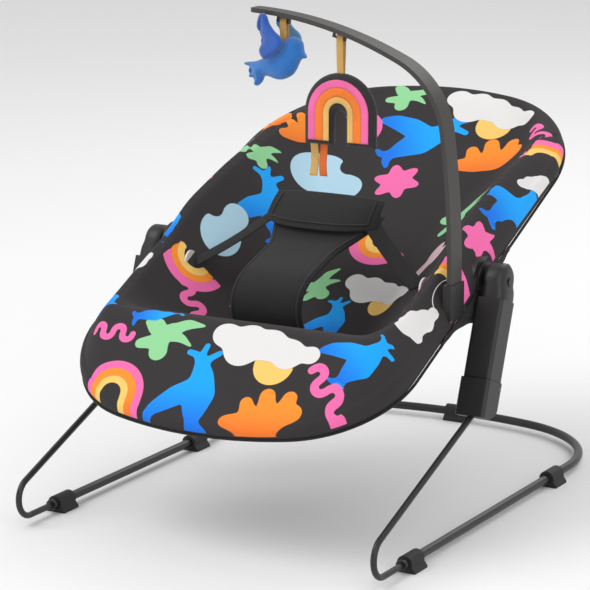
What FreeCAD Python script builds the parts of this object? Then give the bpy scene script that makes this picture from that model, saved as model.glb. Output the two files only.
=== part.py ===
"""Baby bouncer seat: a padded sling seat on a tube loop, carried by two folding side posts on a sprung wire base.

Millimetres. +Z is up, the foot end points to -Y, the head end to +Y. The origin lies on the floor in the middle.
"""
import FreeCAD, Part
import math
import os
from types import SimpleNamespace

from FreeCAD import Placement, Rotation, Vector

SIZES = [
    # base
    ("track", 440, "between the centres of the two base side tubes"),
    ("rear_reach", 318, "from the origin back to the centre of the rear cross tube"),
    ("bend_reach", 305.5, "from the origin forward to the centre of the front bends"),
    ("tube_dia", 10, "outside diameter of the base tube"),
    ("tube_wall", 1.4, "wall of the base tube"),
    ("tube_height", 10, "centre of the base tube above the floor"),
    ("corner_radius", 149, "rear corner of the base"),
    ("rear_bow", 12, "half angle of the bowed rear cross tube, degrees"),
    ("rod_dia", 7, "spring wire"),
    ("bend_radius", 21.5, "front bend of the spring wire"),
    ("rod_slope", 21, "rise of the spring wire, degrees"),
    ("rod_run", 261, "straight length of the sloping spring wire"),
    ("tongue_length", 34, "wire held inside the tube"),
    ("collar_dia", 12.5, "crimp collar"),
    ("collar_length", 6, "crimp collar"),
    ("foot_length", 29, "rubber foot along its tube"),
    ("foot_dia", 18, "round top of a rubber foot"),
    ("foot_width", 25, "flat bottom of a rubber foot"),
    ("front_foot_back", 62.5, "front feet behind the front bends"),
    ("left_foot_back", 350, "left rear foot behind the front bends"),
    ("right_foot_back", 421, "right rear foot behind the front bends"),
    # side posts
    ("post_lean", 20.5, "backward lean of the posts, degrees"),
    ("post_length", 110, "from the seam of a post up to its hub axis"),
    ("boot_width", 35, "boot across the seat"),
    ("boot_front", 23.5, "boot in front of the post's axis"),
    ("post_back", 21, "boot and sleeve behind the post's axis"),
    ("boot_length", 42, "boot below the seam"),
    ("sleeve_width", 32, "sliding sleeve across the seat"),
    ("sleeve_length", 88.4, "sliding sleeve"),
    ("sleeve_wall", 2.2, "sliding sleeve"),
    ("seam_gap", 0.6, "between boot and sleeve"),
    ("core_width", 13, "thickness of the inner post"),
    ("core_depth", 20, "front to back size of the inner post"),
    ("core_top", 84, "top of the inner post above the seam"),
    ("pin_back", 10, "fold pin behind the post's axis"),
    ("pin_drop", 6, "fold pin below the seam"),
    ("pin_dia", 6, "fold pin"),
    ("eye_radius", 7, "eye of the inner post around the fold pin"),
    # hubs
    ("axle_dia", 8, "recline axle"),
    ("flange_dia", 40, "post side disc of the hub"),
    ("hub_dia", 52, "seat side hub housing"),
    ("hub_width", 15, "seat side hub housing"),
    ("hub_gap", 0.3, "between turning faces"),
    ("lock_dia", 26, "toothed locking disc"),
    ("lock_width", 6, "toothed locking disc"),
    ("button_dia", 10, "recline button"),
    # seat
    ("loop_pitch", 24.7, "slope of the seat tube loop, degrees"),
    ("loop_foot_height", 142, "foot end of the loop above the floor"),
    ("loop_foot_ahead", 5, "foot end of the loop ahead of the front bends"),
    ("loop_length", 658, "seat loop, foot end to head end, on its centre line"),
    ("loop_width", 385, "between the side centres of the seat loop"),
    ("loop_dia", 12, "seat tube"),
    ("loop_wall", 1.5, "wall of the seat tube"),
    ("foot_corner", 118, "foot end corners of the seat loop"),
    ("head_corner", 150, "head end corners of the seat loop"),
    ("loop_bow", 14, "half angle of the bowed ends of the seat loop, degrees"),
    ("hub_along", 305, "hub axis from the foot end, along the loop"),
    ("socket_depth", 9, "seat tube inside its hub"),
    ("crest", 56, "knee crest above the plane of the loop"),
    ("crest_along", 119, "knee crest from the foot end, along the loop"),
    ("sag", 56, "seat pocket below the plane of the loop"),
    ("padding", 9, "thickness of the padded sling"),
    ("bolster", 34, "thickness of the side bolsters"),
    # toy bar
    ("bar_width", 26, "toy bar, front to back"),
    ("bar_tip_width", 20, "toy bar at its tip"),
    ("bar_thickness", 5, "toy bar"),
    ("bar_side", 199.5, "toy bar's foot from the middle of the seat"),
    ("bar_back", 200, "toy bar behind the front bends"),
    ("bar_foot", 250, "lower end of the toy bar above the floor"),
    ("socket_top", 279, "mouth of the toy bar socket above the floor"),
    # harness
    ("pad_width", 90, "crotch pad"),
    ("buckle_width", 52, "buckle across the seat"),
    ("buckle_depth", 30, "buckle, front to back"),
    ("buckle_height", 8, "top of the buckle above the pad"),
    ("tongue_width", 23.7, "tongue of the buckle across the seat"),
    ("flap_width", 146, "flap over the buckle"),
    ("flap_depth", 54, "flap, front to back"),
    ("flap_thickness", 5.5, "flap"),
    ("strap_width", 20, "waist strap"),
    ("strap_thickness", 1.6, "waist strap"),
    # toys
    ("hook_width", 16, "toy hook along the bar"),
    ("hook_depth", 7.5, "toy hook below the bar"),
    ("ribbon_width", 8, "ribbon of a toy"),
    ("toy_thickness", 13, "padded rainbow"),
    ("bird_thickness", 24, "body of the plush bird"),
    ("wing_height", 52, "raised wing above the bird's middle"),
    ("rainbow_width", 88, "rainbow"),
    ("rainbow_height", 80, "rainbow"),
    ("rainbow_slit", 16, "slit in the middle of the rainbow"),
    # clearances
    ("snug", 0.05, "radial clearance of a shaft, pin or plug"),
    ("slack", 0.5, "clearance of a sliding or soft part"),
]

doc = FreeCAD.newDocument("BouncerSeat")
sheet = doc.addObject("Spreadsheet::Sheet", "Sizes")
for row, (alias, number, note) in enumerate(SIZES, start=1):
    sheet.set("A%d" % row, alias)
    sheet.set("B%d" % row, str(number))
    sheet.set("C%d" % row, note)
    sheet.setAlias("B%d" % row, alias)
doc.recompute()
S = SimpleNamespace(**{alias: float(sheet.get(alias)) for alias, _, _ in SIZES})

X, Y, Z = Vector(1, 0, 0), Vector(0, 1, 0), Vector(0, 0, 1)
SIDES = (("right", 1), ("left", -1))
nodes = []


# ---------------------------------------------------------------- helpers

def bind(feature, **links):
    """Ties properties of a feature to expressions over the sheet's aliases."""
    for name, words in links.items():
        text = " ".join("Sizes." + w if hasattr(S, w) else w for w in words.split())
        feature.setExpression(name, text)
    return feature


def node(feature, label):
    """Marks a feature as one finished piece."""
    feature.Label = label
    nodes.append(feature)
    return feature


def body(name, frame=None):
    made = doc.addObject("PartDesign::Body", name)
    if frame:
        made.Placement = frame
    return made


def sketch(part, role, name):
    plane = [f for f in part.Origin.OriginFeatures if f.Role == role][0]
    made = part.newObject("Sketcher::SketchObject", name)
    made.AttachmentSupport = (plane, [""])
    made.MapMode = "FlatFace"
    return made


def outline(drawing, points):
    """Closed outline. A point is a corner, or with "via" as a third item the middle of an arc between corners."""
    flat = [Vector(p[0], p[1], 0) for p in points]
    count = len(points)
    place = 0
    while place < count:
        nxt = (place + 1) % count
        if len(points[nxt]) == 3:
            end = (place + 2) % count
            drawing.addGeometry(Part.Arc(flat[place], flat[nxt], flat[end]), False)
            place += 2
        else:
            drawing.addGeometry(Part.LineSegment(flat[place], flat[nxt]), False)
            place += 1


def circle(drawing, across, up, radius):
    drawing.addGeometry(Part.Circle(Vector(across, up, 0), Z, radius), False)


def rounded(half_x, low, high, low_corner, high_corner):
    """Outline of a rectangle from low to high with arcs at its corners."""
    bite = 1 - math.sqrt(0.5)
    a, b = low_corner, high_corner
    right = [
        (half_x - a, low), (half_x - a * bite, low + a * bite, "via"), (half_x, low + a),
        (half_x, high - b), (half_x - b * bite, high - b * bite, "via"), (half_x - b, high),
    ]
    left = [(-p[0],) + p[1:] for p in reversed(right)]
    return right + left


def pad(part, drawing, name, length, middle=False, down=False):
    made = part.newObject("PartDesign::Pad", name)
    made.Profile = drawing
    made.Midplane = middle
    made.Reversed = down
    return bind(made, Length=length)


def pocket(part, drawing, name, length=None):
    """Cuts through everything, or a slot of the given length about the sketch's plane."""
    made = part.newObject("PartDesign::Pocket", name)
    made.Profile = drawing
    made.Midplane = True
    if length:
        return bind(made, Length=length)
    made.Type = "ThroughAll"
    return made


def cylinder(name, radius, length, start, axis=Z, frame=None):
    """Part cylinder from a start point along an axis, both in the given frame."""
    made = doc.addObject("Part::Cylinder", name)
    bind(made, Radius=radius, Height=length)
    made.Placement = (frame or Placement()).multiply(Placement(start, Rotation(Z, axis)))
    return made


def box(name, low, high, frame=None):
    made = doc.addObject("Part::Box", name)
    made.Length, made.Width, made.Height = high[0] - low[0], high[1] - low[1], high[2] - low[2]
    made.Placement = (frame or Placement()).multiply(Placement(Vector(*low), Rotation()))
    return made


def cut(name, base, *tools):
    made = doc.addObject("Part::Cut", name)
    made.Base = base
    made.Tool = tools[0] if len(tools) == 1 else fuse(name + "Tools", *tools)
    return made


def fuse(name, *shapes):
    made = doc.addObject("Part::MultiFuse", name)
    made.Shapes = list(shapes)
    return made


def bent_tube(name, label, frame, half, corner, bow, reach, outside, wall):
    """U-shaped tube in its frame's XY plane: legs from Y = 0, arc corners and a bowed far end at Y = reach."""
    made = body(name, frame)
    lean = math.radians(bow)
    shoulder = half - corner + corner * math.sin(lean)
    crown = shoulder / math.sin(lean)
    leg = reach - crown - corner * math.cos(lean) + crown * math.cos(lean)
    quarter = math.pi / 2
    path = sketch(made, "XY_Plane", name + "Path")
    path.addGeometry(Part.LineSegment(Vector(half, 0, 0), Vector(half, leg, 0)), False)
    right = Part.Circle(Vector(half - corner, leg, 0), Z, corner)
    path.addGeometry(Part.ArcOfCircle(right, 0, quarter - lean), False)
    far = Part.Circle(Vector(0, reach - crown, 0), Z, crown)
    path.addGeometry(Part.ArcOfCircle(far, quarter - lean, quarter + lean), False)
    left = Part.Circle(Vector(corner - half, leg, 0), Z, corner)
    path.addGeometry(Part.ArcOfCircle(left, quarter + lean, math.pi), False)
    path.addGeometry(Part.LineSegment(Vector(-half, leg, 0), Vector(-half, 0, 0)), False)
    ring = sketch(made, "XZ_Plane", name + "Ring")
    circle(ring, half, 0, outside / 2)
    circle(ring, half, 0, outside / 2 - wall)
    pipe = made.newObject("PartDesign::AdditivePipe", name + "Pipe")
    pipe.Profile = ring
    pipe.Spine = (path, ["Edge%d" % n for n in range(1, 6)])
    return node(made, label)


# ---------------------------------------------------------------- frames

tube_front = S.front_foot_back - S.bend_reach - S.foot_length / 2 - 2
seat_frame = Placement(
    Vector(0, -S.bend_reach - S.loop_foot_ahead, S.loop_foot_height), Rotation(X, S.loop_pitch))
hub = seat_frame.multVec(Vector(0, S.hub_along, 0))
lean = math.radians(S.post_lean)
seam = hub - Vector(0, math.sin(lean), math.cos(lean)) * S.post_length


def post_frame(sign):
    """Frame of one post: origin on its axis at the seam, Z up along the post, Y to the rear."""
    return Placement(Vector(sign * S.track / 2, seam.y, seam.z), Rotation(X, -S.post_lean))


# ---------------------------------------------------------------- base

def base_tube():
    frame = Placement(Vector(0, tube_front, S.tube_height), Rotation())
    bent_tube("BaseTube", "base_tube", frame, S.track / 2, S.corner_radius, S.rear_bow,
              S.rear_reach - tube_front, S.tube_dia, S.tube_wall)


def spring_rod(side, sign):
    """Wire from inside the tube forward, round the front bend and up to the boot."""
    name = "SpringRod" + side.title()
    origin = Vector(sign * S.track / 2, tube_front + S.tongue_length, S.tube_height)
    made = body(name, Placement(origin, Rotation()))
    path = sketch(made, "YZ_Plane", name + "Path")
    bend = -S.bend_reach - origin.y
    turn = math.radians(90 + S.rod_slope)
    top = Vector(bend + S.bend_radius * math.cos(turn), S.bend_radius * (1 + math.sin(turn)), 0)
    rise = Vector(math.sin(turn), -math.cos(turn), 0)
    path.addGeometry(Part.LineSegment(Vector(0, 0, 0), Vector(bend, 0, 0)), False)
    loop = Part.Circle(Vector(bend, S.bend_radius, 0), Z, S.bend_radius)
    path.addGeometry(Part.ArcOfCircle(loop, turn, 1.5 * math.pi), False)
    path.addGeometry(Part.LineSegment(top, top + rise * S.rod_run), False)
    wire = sketch(made, "XZ_Plane", name + "Wire")
    circle(wire, 0, 0, S.rod_dia / 2)
    pipe = made.newObject("PartDesign::AdditivePipe", name + "Pipe")
    pipe.Profile = wire
    pipe.Spine = (path, ["Edge1", "Edge2", "Edge3"])
    node(made, "spring_rod_" + side)
    end = top + rise * S.rod_run
    return Vector(0, end.x, end.y) + origin, Vector(0, rise.x, rise.y)


def crimp_collar(side, sign):
    start = Vector(sign * S.track / 2, tube_front - S.collar_length, S.tube_height)
    ring = cylinder("CollarRing", "collar_dia / 2", "collar_length", start, Y)
    hole = cylinder("CollarHole", "rod_dia / 2 + snug", "collar_length", start, Y)
    node(cut("Collar" + side.title(), ring, hole), "crimp_collar_" + side)


def rubber_foot(label, across, back, turn=0, give=0.0):
    """Foot with a round top and a flared flat sole, on a straight stretch of tube."""
    frame = Placement(Vector(across, back, S.tube_height), Rotation(Z, turn))
    made = body("Foot", frame)
    face = sketch(made, "XZ_Plane", "FootFace")
    top, wide, sole = S.foot_dia / 2, S.foot_width / 2, -S.tube_height
    outline(face, [(-wide, sole), (wide, sole), (wide, sole + 2.5), (top, sole + 7), (top, 0),
                   (0, top, "via"), (-top, 0), (-top, sole + 7), (-wide, sole + 2.5)])
    circle(face, 0, 0, S.tube_dia / 2 + S.snug + give)
    pad(made, face, "FootPad", "foot_length", middle=True)
    node(made, label)


# ---------------------------------------------------------------- posts

def boot(side, sign, rod_end, rod_axis):
    """Lower housing: holds the wire from below and the fold pin at the top."""
    made = body("Boot" + side.title(), post_frame(sign))
    section = sketch(made, "XY_Plane", "BootSection")
    outline(section, rounded(S.boot_width / 2, -S.boot_front, S.post_back, 4, 13))
    pad(made, section, "BootPad", "boot_length", down=True)
    heel = sketch(made, "YZ_Plane", "BootHeel")
    back, low = S.post_back, -S.boot_length
    outline(heel, [(back + 5, -7), (back, -7), (back * 0.62, low * 0.7, "via"), (-6, low),
                   (-6, low - 5), (back + 5, low - 5)])
    pocket(made, heel, "BootHeelCut")
    slot = sketch(made, "YZ_Plane", "BootSlot")
    reach = S.eye_radius + 1
    outline(slot, [(S.pin_back - reach, 1), (S.pin_back - reach, -S.pin_drop - reach),
                   (back + 5, -S.pin_drop - reach), (back + 5, 1)])
    pocket(made, slot, "BootSlotCut", "core_width + 2 * slack")
    eye = sketch(made, "YZ_Plane", "BootEye")
    circle(eye, S.pin_back, -S.pin_drop, S.pin_dia / 2 + S.snug)
    pocket(made, eye, "BootEyeCut")
    start = rod_end - rod_axis * 90
    start.x = sign * S.track / 2
    bore = cylinder("BootBore", "rod_dia / 2 + snug", "90", start, rod_axis)
    node(cut("BootDrilled" + side.title(), made, bore), "boot_" + side)


def fold_pin(side, sign):
    half = S.boot_width / 2 - 1.5
    start = Vector(-half, S.pin_back, -S.pin_drop)
    node(cylinder("FoldPin", "pin_dia / 2", "boot_width - 3", start, X, post_frame(sign)), "fold_pin_" + side)


def post_core(side, sign):
    """Inner post: an eye on the fold pin and a flat bar up to the hub cap."""
    made = body("Core" + side.title(), post_frame(sign))
    face = sketch(made, "YZ_Plane", "CoreFace")
    half, eye, mid = S.core_depth / 2, S.eye_radius, S.pin_back
    outline(face, [(-half, S.seam_gap), (mid - eye, S.seam_gap), (mid - eye, -S.pin_drop),
                   (mid, -S.pin_drop - eye, "via"), (mid + eye, -S.pin_drop), (mid + eye, 10),
                   (half, 18), (half, S.core_top), (-half, S.core_top)])
    circle(face, mid, -S.pin_drop, S.pin_dia / 2 + S.snug)
    pad(made, face, "CorePad", "core_width", middle=True)
    node(made, "inner_post_" + side)


def sleeve(side, sign):
    """Hollow sleeve that slides up the post to free the fold."""
    frame = post_frame(sign).multiply(Placement(Vector(0, 0, S.seam_gap), Rotation()))
    made = body("Sleeve" + side.title(), frame)
    section = sketch(made, "XY_Plane", "SleeveSection")
    outline(section, rounded(S.sleeve_width / 2, -S.post_back, S.post_back, 4, 13))
    inside = S.post_back - S.sleeve_wall
    outline(section, rounded(S.sleeve_width / 2 - S.sleeve_wall, -inside, inside, 2, 11))
    pad(made, section, "SleevePad", "sleeve_length")
    node(made, "post_sleeve_" + side)


flange_face = S.loop_width / 2 + S.hub_width / 2 + S.hub_gap
flange_width = S.track / 2 - S.sleeve_width / 2 - 0.5 - flange_face


def hub_cap(side, sign):
    """Shoulder on top of the inner post, with a stub to the disc that faces the seat's hub."""
    frame = post_frame(sign)
    radius = S.sleeve_width / 2 - S.sleeve_wall - S.slack
    lower = cylinder("CapLower", "sleeve_width / 2 - sleeve_wall - slack", "7", Vector(0, 0, S.core_top), Z, frame)
    cone = doc.addObject("Part::Cone", "CapCone")
    cone.Radius1, cone.Radius2, cone.Height = radius, 9, S.post_length + 9 - S.core_top - 7
    cone.Placement = frame.multiply(Placement(Vector(0, 0, S.core_top + 7), Rotation()))
    middle = sign * -S.track / 2
    at_axis = S.post_length
    start = Vector(middle + sign * flange_face, 0, at_axis)
    stub = cylinder("CapStub", "axle_dia / 2 + 1", "%g" % (S.track / 2 - flange_face), start, X * sign, frame)
    disc = cylinder("CapDisc", "flange_dia / 2", "%g" % flange_width, start, X * sign, frame)
    whole = fuse("CapBody" + side.title(), lower, cone, stub, disc)
    bore = cylinder("CapBore", "axle_dia / 2 + snug", "14", start, X * sign, frame)
    recess = cylinder("CapRecess", "button_dia / 2 + snug", "12", Vector(sign * 3, 0, at_axis), X * sign, frame)
    node(cut("Cap" + side.title(), whole, bore, recess), "hub_cap_" + side)
    axle_start = Vector(middle + sign * (S.loop_width / 2 - S.hub_width / 2 + 1), 0, at_axis)
    node(cylinder("Axle", "axle_dia / 2", "hub_width + hub_gap + 11", axle_start, X * sign, frame),
         "recline_axle_" + side)
    node(cylinder("Button", "button_dia / 2", "8", Vector(sign * 5, 0, at_axis), X * sign, frame),
         "recline_button_" + side)


# ---------------------------------------------------------------- seat frame

lock_near = S.loop_width / 2 + S.hub_width / 2 - S.lock_width - S.hub_gap


def lock_disc(side, sign):
    """Toothed disc between the post's half and the seat's half of a hub."""
    teeth = 16
    made = body("Lock" + side.title(), Placement(Vector(sign * (lock_near + S.lock_width / 2), hub.y, hub.z),
                                                 Rotation(X, S.loop_pitch)))
    face = sketch(made, "YZ_Plane", "LockFace")
    points = []
    for n in range(2 * teeth):
        radius = S.lock_dia / 2 - (n % 2) * 1.6
        turn = math.pi * n / teeth
        points.append((radius * math.cos(turn), radius * math.sin(turn)))
    outline(face, points)
    circle(face, 0, 0, S.axle_dia / 2 + S.snug)
    pad(made, face, "LockPad", "lock_width", middle=True)
    node(made, "lock_disc_" + side)


def seat_hub(side, sign):
    """Housing on the seat loop: takes both tubes in its rim and the locking disc in its outer face."""
    near = S.loop_width / 2 - S.hub_width / 2
    start = Vector(sign * near, S.hub_along, 0)
    drum = cylinder("HubDrum", "hub_dia / 2", "hub_width", start, X * sign, seat_frame)
    bore = cylinder("HubBore", "axle_dia / 2 + snug", "hub_width", start, X * sign, seat_frame)
    recess = cylinder("HubRecess", "lock_dia / 2 + slack", "lock_width + 2 * hub_gap",
                      Vector(sign * (lock_near - S.hub_gap), S.hub_along, 0), X * sign, seat_frame)
    sockets = []
    for way in (1, -1):
        mouth = Vector(sign * S.loop_width / 2, S.hub_along + way * (S.hub_dia / 2 - S.socket_depth), 0)
        sockets.append(cylinder("HubSocket", "loop_dia / 2 + snug", "socket_depth + 5", mouth, Y * way, seat_frame))
    node(cut("Hub" + side.title(), drum, bore, recess, *sockets), "seat_hub_" + side)


def seat_loop():
    inside = S.hub_dia / 2 - S.socket_depth
    foot = seat_frame.multiply(Placement(Vector(0, S.hub_along - inside, 0), Rotation(Z, 180)))
    bent_tube("FootTube", "seat_tube_foot", foot, S.loop_width / 2, S.foot_corner, S.loop_bow,
              S.hub_along - inside, S.loop_dia, S.loop_wall)
    head = seat_frame.multiply(Placement(Vector(0, S.hub_along + inside, 0), Rotation()))
    bent_tube("HeadTube", "seat_tube_head", head, S.loop_width / 2, S.head_corner, S.loop_bow,
              S.loop_length - S.hub_along - inside, S.loop_dia, S.loop_wall)


# ---------------------------------------------------------------- soft seat

def floor_line():
    """Top of the padded sling along the seat: apron, knee crest, pocket and back, as (along, above the loop)."""
    top, low, knee = S.crest, -S.sag, S.crest_along
    return [(16, 6), (knee, top), (knee + 32, top * 0.35), (knee + 60, low * 0.6), (knee + 98, low),
            (S.hub_along, low + 8), (S.loop_length - 108, -12), (S.loop_length - 12, 5)]


def seat_fabric():
    """Padded sling inside the loop: floor, knee crest and side bolsters round an open pocket."""
    made = body("Fabric", seat_frame)
    top, knee, far = S.crest, S.crest_along, S.loop_length
    floor = floor_line()
    under = [(a, up - S.padding) for a, up in floor[4:]]
    side = sketch(made, "YZ_Plane", "FabricSide")
    rim = [(knee + 146, top - 9), (knee + 208, top - 4), (knee + 290, top - 10), (far - 178, 36), (far - 68, 14)]
    below = [(16, -3), (knee - 4, top - 18), (knee + 24, 6), (knee + 50, -S.sag * 0.75)]
    outline(side, below[:1] + floor[:2] + rim + floor[-1:] + under[::-1] + below[:0:-1])
    half = S.loop_width / 2 - S.hub_width / 2 - S.hub_gap
    pad(made, side, "FabricPad", "2 * ( loop_width / 2 - hub_width / 2 - hub_gap )", middle=True)
    inner = sketch(made, "YZ_Plane", "FabricPocket")
    outline(inner, [(knee, top + 40)] + floor[1:] + [(far + 20, 12), (far + 20, top + 40)])
    pocket(made, inner, "FabricPocketCut", "2 * ( loop_width / 2 - hub_width / 2 - hub_gap - bolster )")
    rest = S.loop_dia / 2 + S.slack + 0.5
    clip = sketch(made, "XY_Plane", "FabricEdge")
    outline(clip, [(-300, -60), (300, -60), (300, far + 80), (-300, far + 80)])
    lean_in = math.radians(S.loop_bow)

    def end_arc(corner, end, way):
        """Corner and end arc of the sling inside one end of the loop, from the right side to the middle."""
        radius = corner - rest
        swing = half - radius + radius * math.sin(lean_in)
        drop = radius * math.cos(lean_in)
        middle = swing * math.tan(lean_in / 2)
        base = end - way * (middle + drop)
        bend = (math.pi / 2 - lean_in) / 2
        via = (half - radius + radius * math.cos(bend), base + way * radius * math.sin(bend), "via")
        return (half, base), via, (swing, base + way * drop), (0, end, "via")

    foot = end_arc(S.foot_corner, rest, -1)
    head = end_arc(S.head_corner, far - rest, 1)
    ring = [foot[0], head[0], head[1], head[2], head[3]]
    ring += [(-head[2][0], head[2][1]), (-head[1][0], head[1][1], "via"), (-head[0][0], head[0][1])]
    ring += [(-foot[0][0], foot[0][1]), (-foot[1][0], foot[1][1], "via"), (-foot[2][0], foot[2][1])]
    ring += [foot[3], foot[2], foot[1]]
    outline(clip, ring)
    pocket(made, clip, "FabricEdgeCut")
    node(made, "seat_fabric")


# ---------------------------------------------------------------- harness

def on_floor(share):
    """Point just above the pocket's front wall, with share from 0 at its top to 1 at its foot."""
    high, low = floor_line()[2:4]
    return high[0] + (low[0] - high[0]) * share, high[1] + (low[1] - high[1]) * share + 0.85


def pad_lines():
    """Top and under side of the crotch pad, from the pocket's front wall to its free rear end."""
    knee, top, rear = S.crest_along, S.crest, S.hub_along
    upper = [on_floor(0.714), (knee + 44, top - 44), (knee + 47, top - 26), (knee + 61, top - 8),
             (knee + 88, top - 2), (rear - 15, top - 10), (rear + 50, top - 8)]
    under = [(rear + 50, top - 17), (rear - 15, top - 19), (knee + 90, top - 11), (knee + 69, top - 16),
             (knee + 57, top - 32), (knee + 55, top - 44), on_floor(0.982)]
    return upper, under


def harness():
    """Crotch pad that arches up from the pocket, the buckle on it, the flap over it and the waist straps."""
    made = body("CrotchPad", seat_frame)
    face = sketch(made, "YZ_Plane", "CrotchPadFace")
    upper, under = pad_lines()
    outline(face, upper + under)
    pad(made, face, "CrotchPadPad", "pad_width", middle=True)
    node(made, "crotch_pad")
    fore, rear = upper[-2:]
    slope = math.degrees(math.atan2(rear[1] - fore[1], rear[0] - fore[0]))
    deck = seat_frame.multiply(Placement(Vector(0, fore[0], fore[1]), Rotation(X, slope)))
    middle, half, reach = 37, S.buckle_width / 2, S.buckle_depth / 2
    node(box("Buckle", (-half, middle - reach, 0.3), (half, middle + reach, S.buckle_height), deck), "buckle_body")
    under_flap = S.buckle_height + S.slack
    node(box("Flap", (-S.flap_width / 2, 8, under_flap),
             (S.flap_width / 2, 8 + S.flap_depth, under_flap + S.flap_thickness), deck), "buckle_flap")
    wall = S.loop_width / 2 - S.hub_width / 2 - S.hub_gap - S.bolster
    for side, sign in SIDES:
        near, far = half + 0.3, half + 0.3 + S.tongue_width
        ends = sorted((sign * near, sign * far))
        grip = S.strap_width / 2
        node(box("Tongue" + side.title(), (ends[0], middle - grip, 2), (ends[1], middle + grip, 6.5), deck),
             "buckle_tongue_" + side)
        start = deck.multVec(Vector(sign * (far + 6), middle, 4))
        eye = Vector(sign * wall, S.hub_along - 43, 12)
        node(strap(side, start, seat_frame.multVec(eye - X * sign * 9)), "waist_strap_" + side)
        eyelet = cylinder("Eyelet" + side.title(), "strap_width / 2 + 2", "2", eye - X * sign * 2.3, X * sign, seat_frame)
        node(eyelet, "strap_eyelet_" + side)


def strap(side, start, end):
    """Flat webbing between two points."""
    run = end - start
    along = Vector(run).normalize()
    flat = Vector(along.cross(Vector(0, -0.35, 1))).normalize()
    frame = Placement(start, Rotation(along, flat, Vector(), "XYZ"))
    made = doc.addObject("Part::Box", "Strap" + side.title())
    bind(made, Width="strap_width")
    made.Length, made.Height = run.Length, S.strap_thickness
    made.Placement = frame.multiply(Placement(Vector(0, -S.strap_width / 2, -S.strap_thickness / 2), Rotation()))
    return made


# ---------------------------------------------------------------- toy bar

bar_y = S.bar_back - S.bend_reach
bar_arcs = [(1100, 90, 98), (95, 98, 155), (470, 155, 178)]
bar_straight = 40


def bar_path():
    """Centre line of the toy bar in its own plane: (start, middle, end) of each arc, each with its heading."""
    here = Vector(S.bar_side, S.bar_foot + bar_straight, 0)
    pieces = []
    for radius, first, last in bar_arcs:
        stops = []
        for heading in (first, (first + last) / 2, last):
            a, b = math.radians(first), math.radians(heading)
            step = Vector(math.sin(b) - math.sin(a), math.cos(a) - math.cos(b), 0) * radius
            stops.append((here + step, b))
        pieces.append(stops)
        here = stops[-1][0]
    return pieces


def bar_point(along):
    """Point and heading on the last arc of the bar, with along from 0 at its start to 1 at the tip."""
    radius, first, last = bar_arcs[-1]
    a = math.radians(first)
    b = math.radians(first + (last - first) * along)
    start = bar_path()[-1][0][0]
    return start + Vector(math.sin(b) - math.sin(a), math.cos(a) - math.cos(b), 0) * radius, b


def toy_bar():
    """Flat curved bar that plugs into its socket and carries two hooks for the toys."""
    made = body("ToyBar", Placement(Vector(0, bar_y, 0), Rotation()))
    side = sketch(made, "XZ_Plane", "ToyBarSide")
    left, right = [], []
    for stops in bar_path():
        for row, (point, heading) in enumerate(stops):
            normal = Vector(-math.sin(heading), math.cos(heading), 0) * (S.bar_thickness / 2)
            if row == 0 and left:
                continue
            mark = ("via",) if row == 1 else ()
            left.append((point.x + normal.x, point.y + normal.y) + mark)
            right.append((point.x - normal.x, point.y - normal.y) + mark)
    tip, heading = bar_point(1)
    nose = tip + Vector(math.cos(heading), math.sin(heading), 0) * (S.bar_thickness / 2)
    foot = [(S.bar_side + S.bar_thickness / 2, S.bar_foot), (S.bar_side - S.bar_thickness / 2, S.bar_foot)]
    outline(side, foot + left + [(nose.x, nose.y, "via")] + right[::-1])
    pad(made, side, "ToyBarPad", "bar_width", middle=True)
    taper = sketch(made, "XY_Plane", "ToyBarTaper")
    wide, narrow, end = S.bar_width / 2, S.bar_tip_width / 2, tip.x - S.bar_thickness
    for way in (1, -1):
        outline(taper, [(140, way * wide), (tip.x + narrow * 0.8, way * narrow),
                        (tip.x + 0.5, way * narrow * 0.8, "via"), (end + 2.2, way * narrow * 0.2),
                        (end - 10, way * narrow * 0.2), (end - 10, way * (wide + 5)), (140, way * (wide + 5))])
    pocket(made, taper, "ToyBarTaperCut")
    hooks = []
    for along in hook_places:
        point, heading = bar_point(along)
        frame = Placement(Vector(point.x, bar_y, point.y), Rotation(Y, -math.degrees(heading) + 180))
        half, face = S.hook_width / 2, -S.bar_thickness / 2
        outer = box("HookOuter", (-half, -2, face - S.hook_depth), (half, 2, 0), frame)
        window = box("HookWindow", (2 - half, -3, face - S.hook_depth + 2), (half - 2, 3, face), frame)
        hooks.append(cut("Hook", outer, window))
    node(fuse("ToyBarWhole", made, *hooks), "toy_bar")


def toy_bar_socket():
    """Clip on the seat tube with an upright pocket for the bar's foot."""
    low, high = bar_y - S.bar_width / 2 - 3.5, bar_y + S.bar_width / 2 + 3.5
    near = S.bar_side - S.bar_thickness / 2 - 3
    far = S.track / 2 - S.sleeve_width / 2 - S.slack
    shell = box("SocketShell", (near, low, 240), (far, high, S.socket_top))
    along = (bar_y + S.bend_reach + S.loop_foot_ahead) / math.cos(math.radians(S.loop_pitch))
    start = Vector(S.loop_width / 2, along - 15, 0)
    ring = cylinder("SocketRing", "loop_dia / 2 + 1.4", "30", start, Y, seat_frame)
    tube = cylinder("SocketTube", "loop_dia / 2 + snug", "60", start - Y * 15, Y, seat_frame)
    gap = S.slack / 2
    mouth = box("SocketMouth", (S.bar_side - S.bar_thickness / 2 - gap, bar_y - S.bar_width / 2 - gap, S.bar_foot - 0.3),
                (S.bar_side + S.bar_thickness / 2 + gap, bar_y + S.bar_width / 2 + gap, S.socket_top + 5))
    whole = fuse("SocketBody", shell, ring)
    node(cut("Socket", whole, tube, mouth), "toy_bar_socket")


# ---------------------------------------------------------------- toys

hook_places = (0.42, 0.8)


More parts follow.
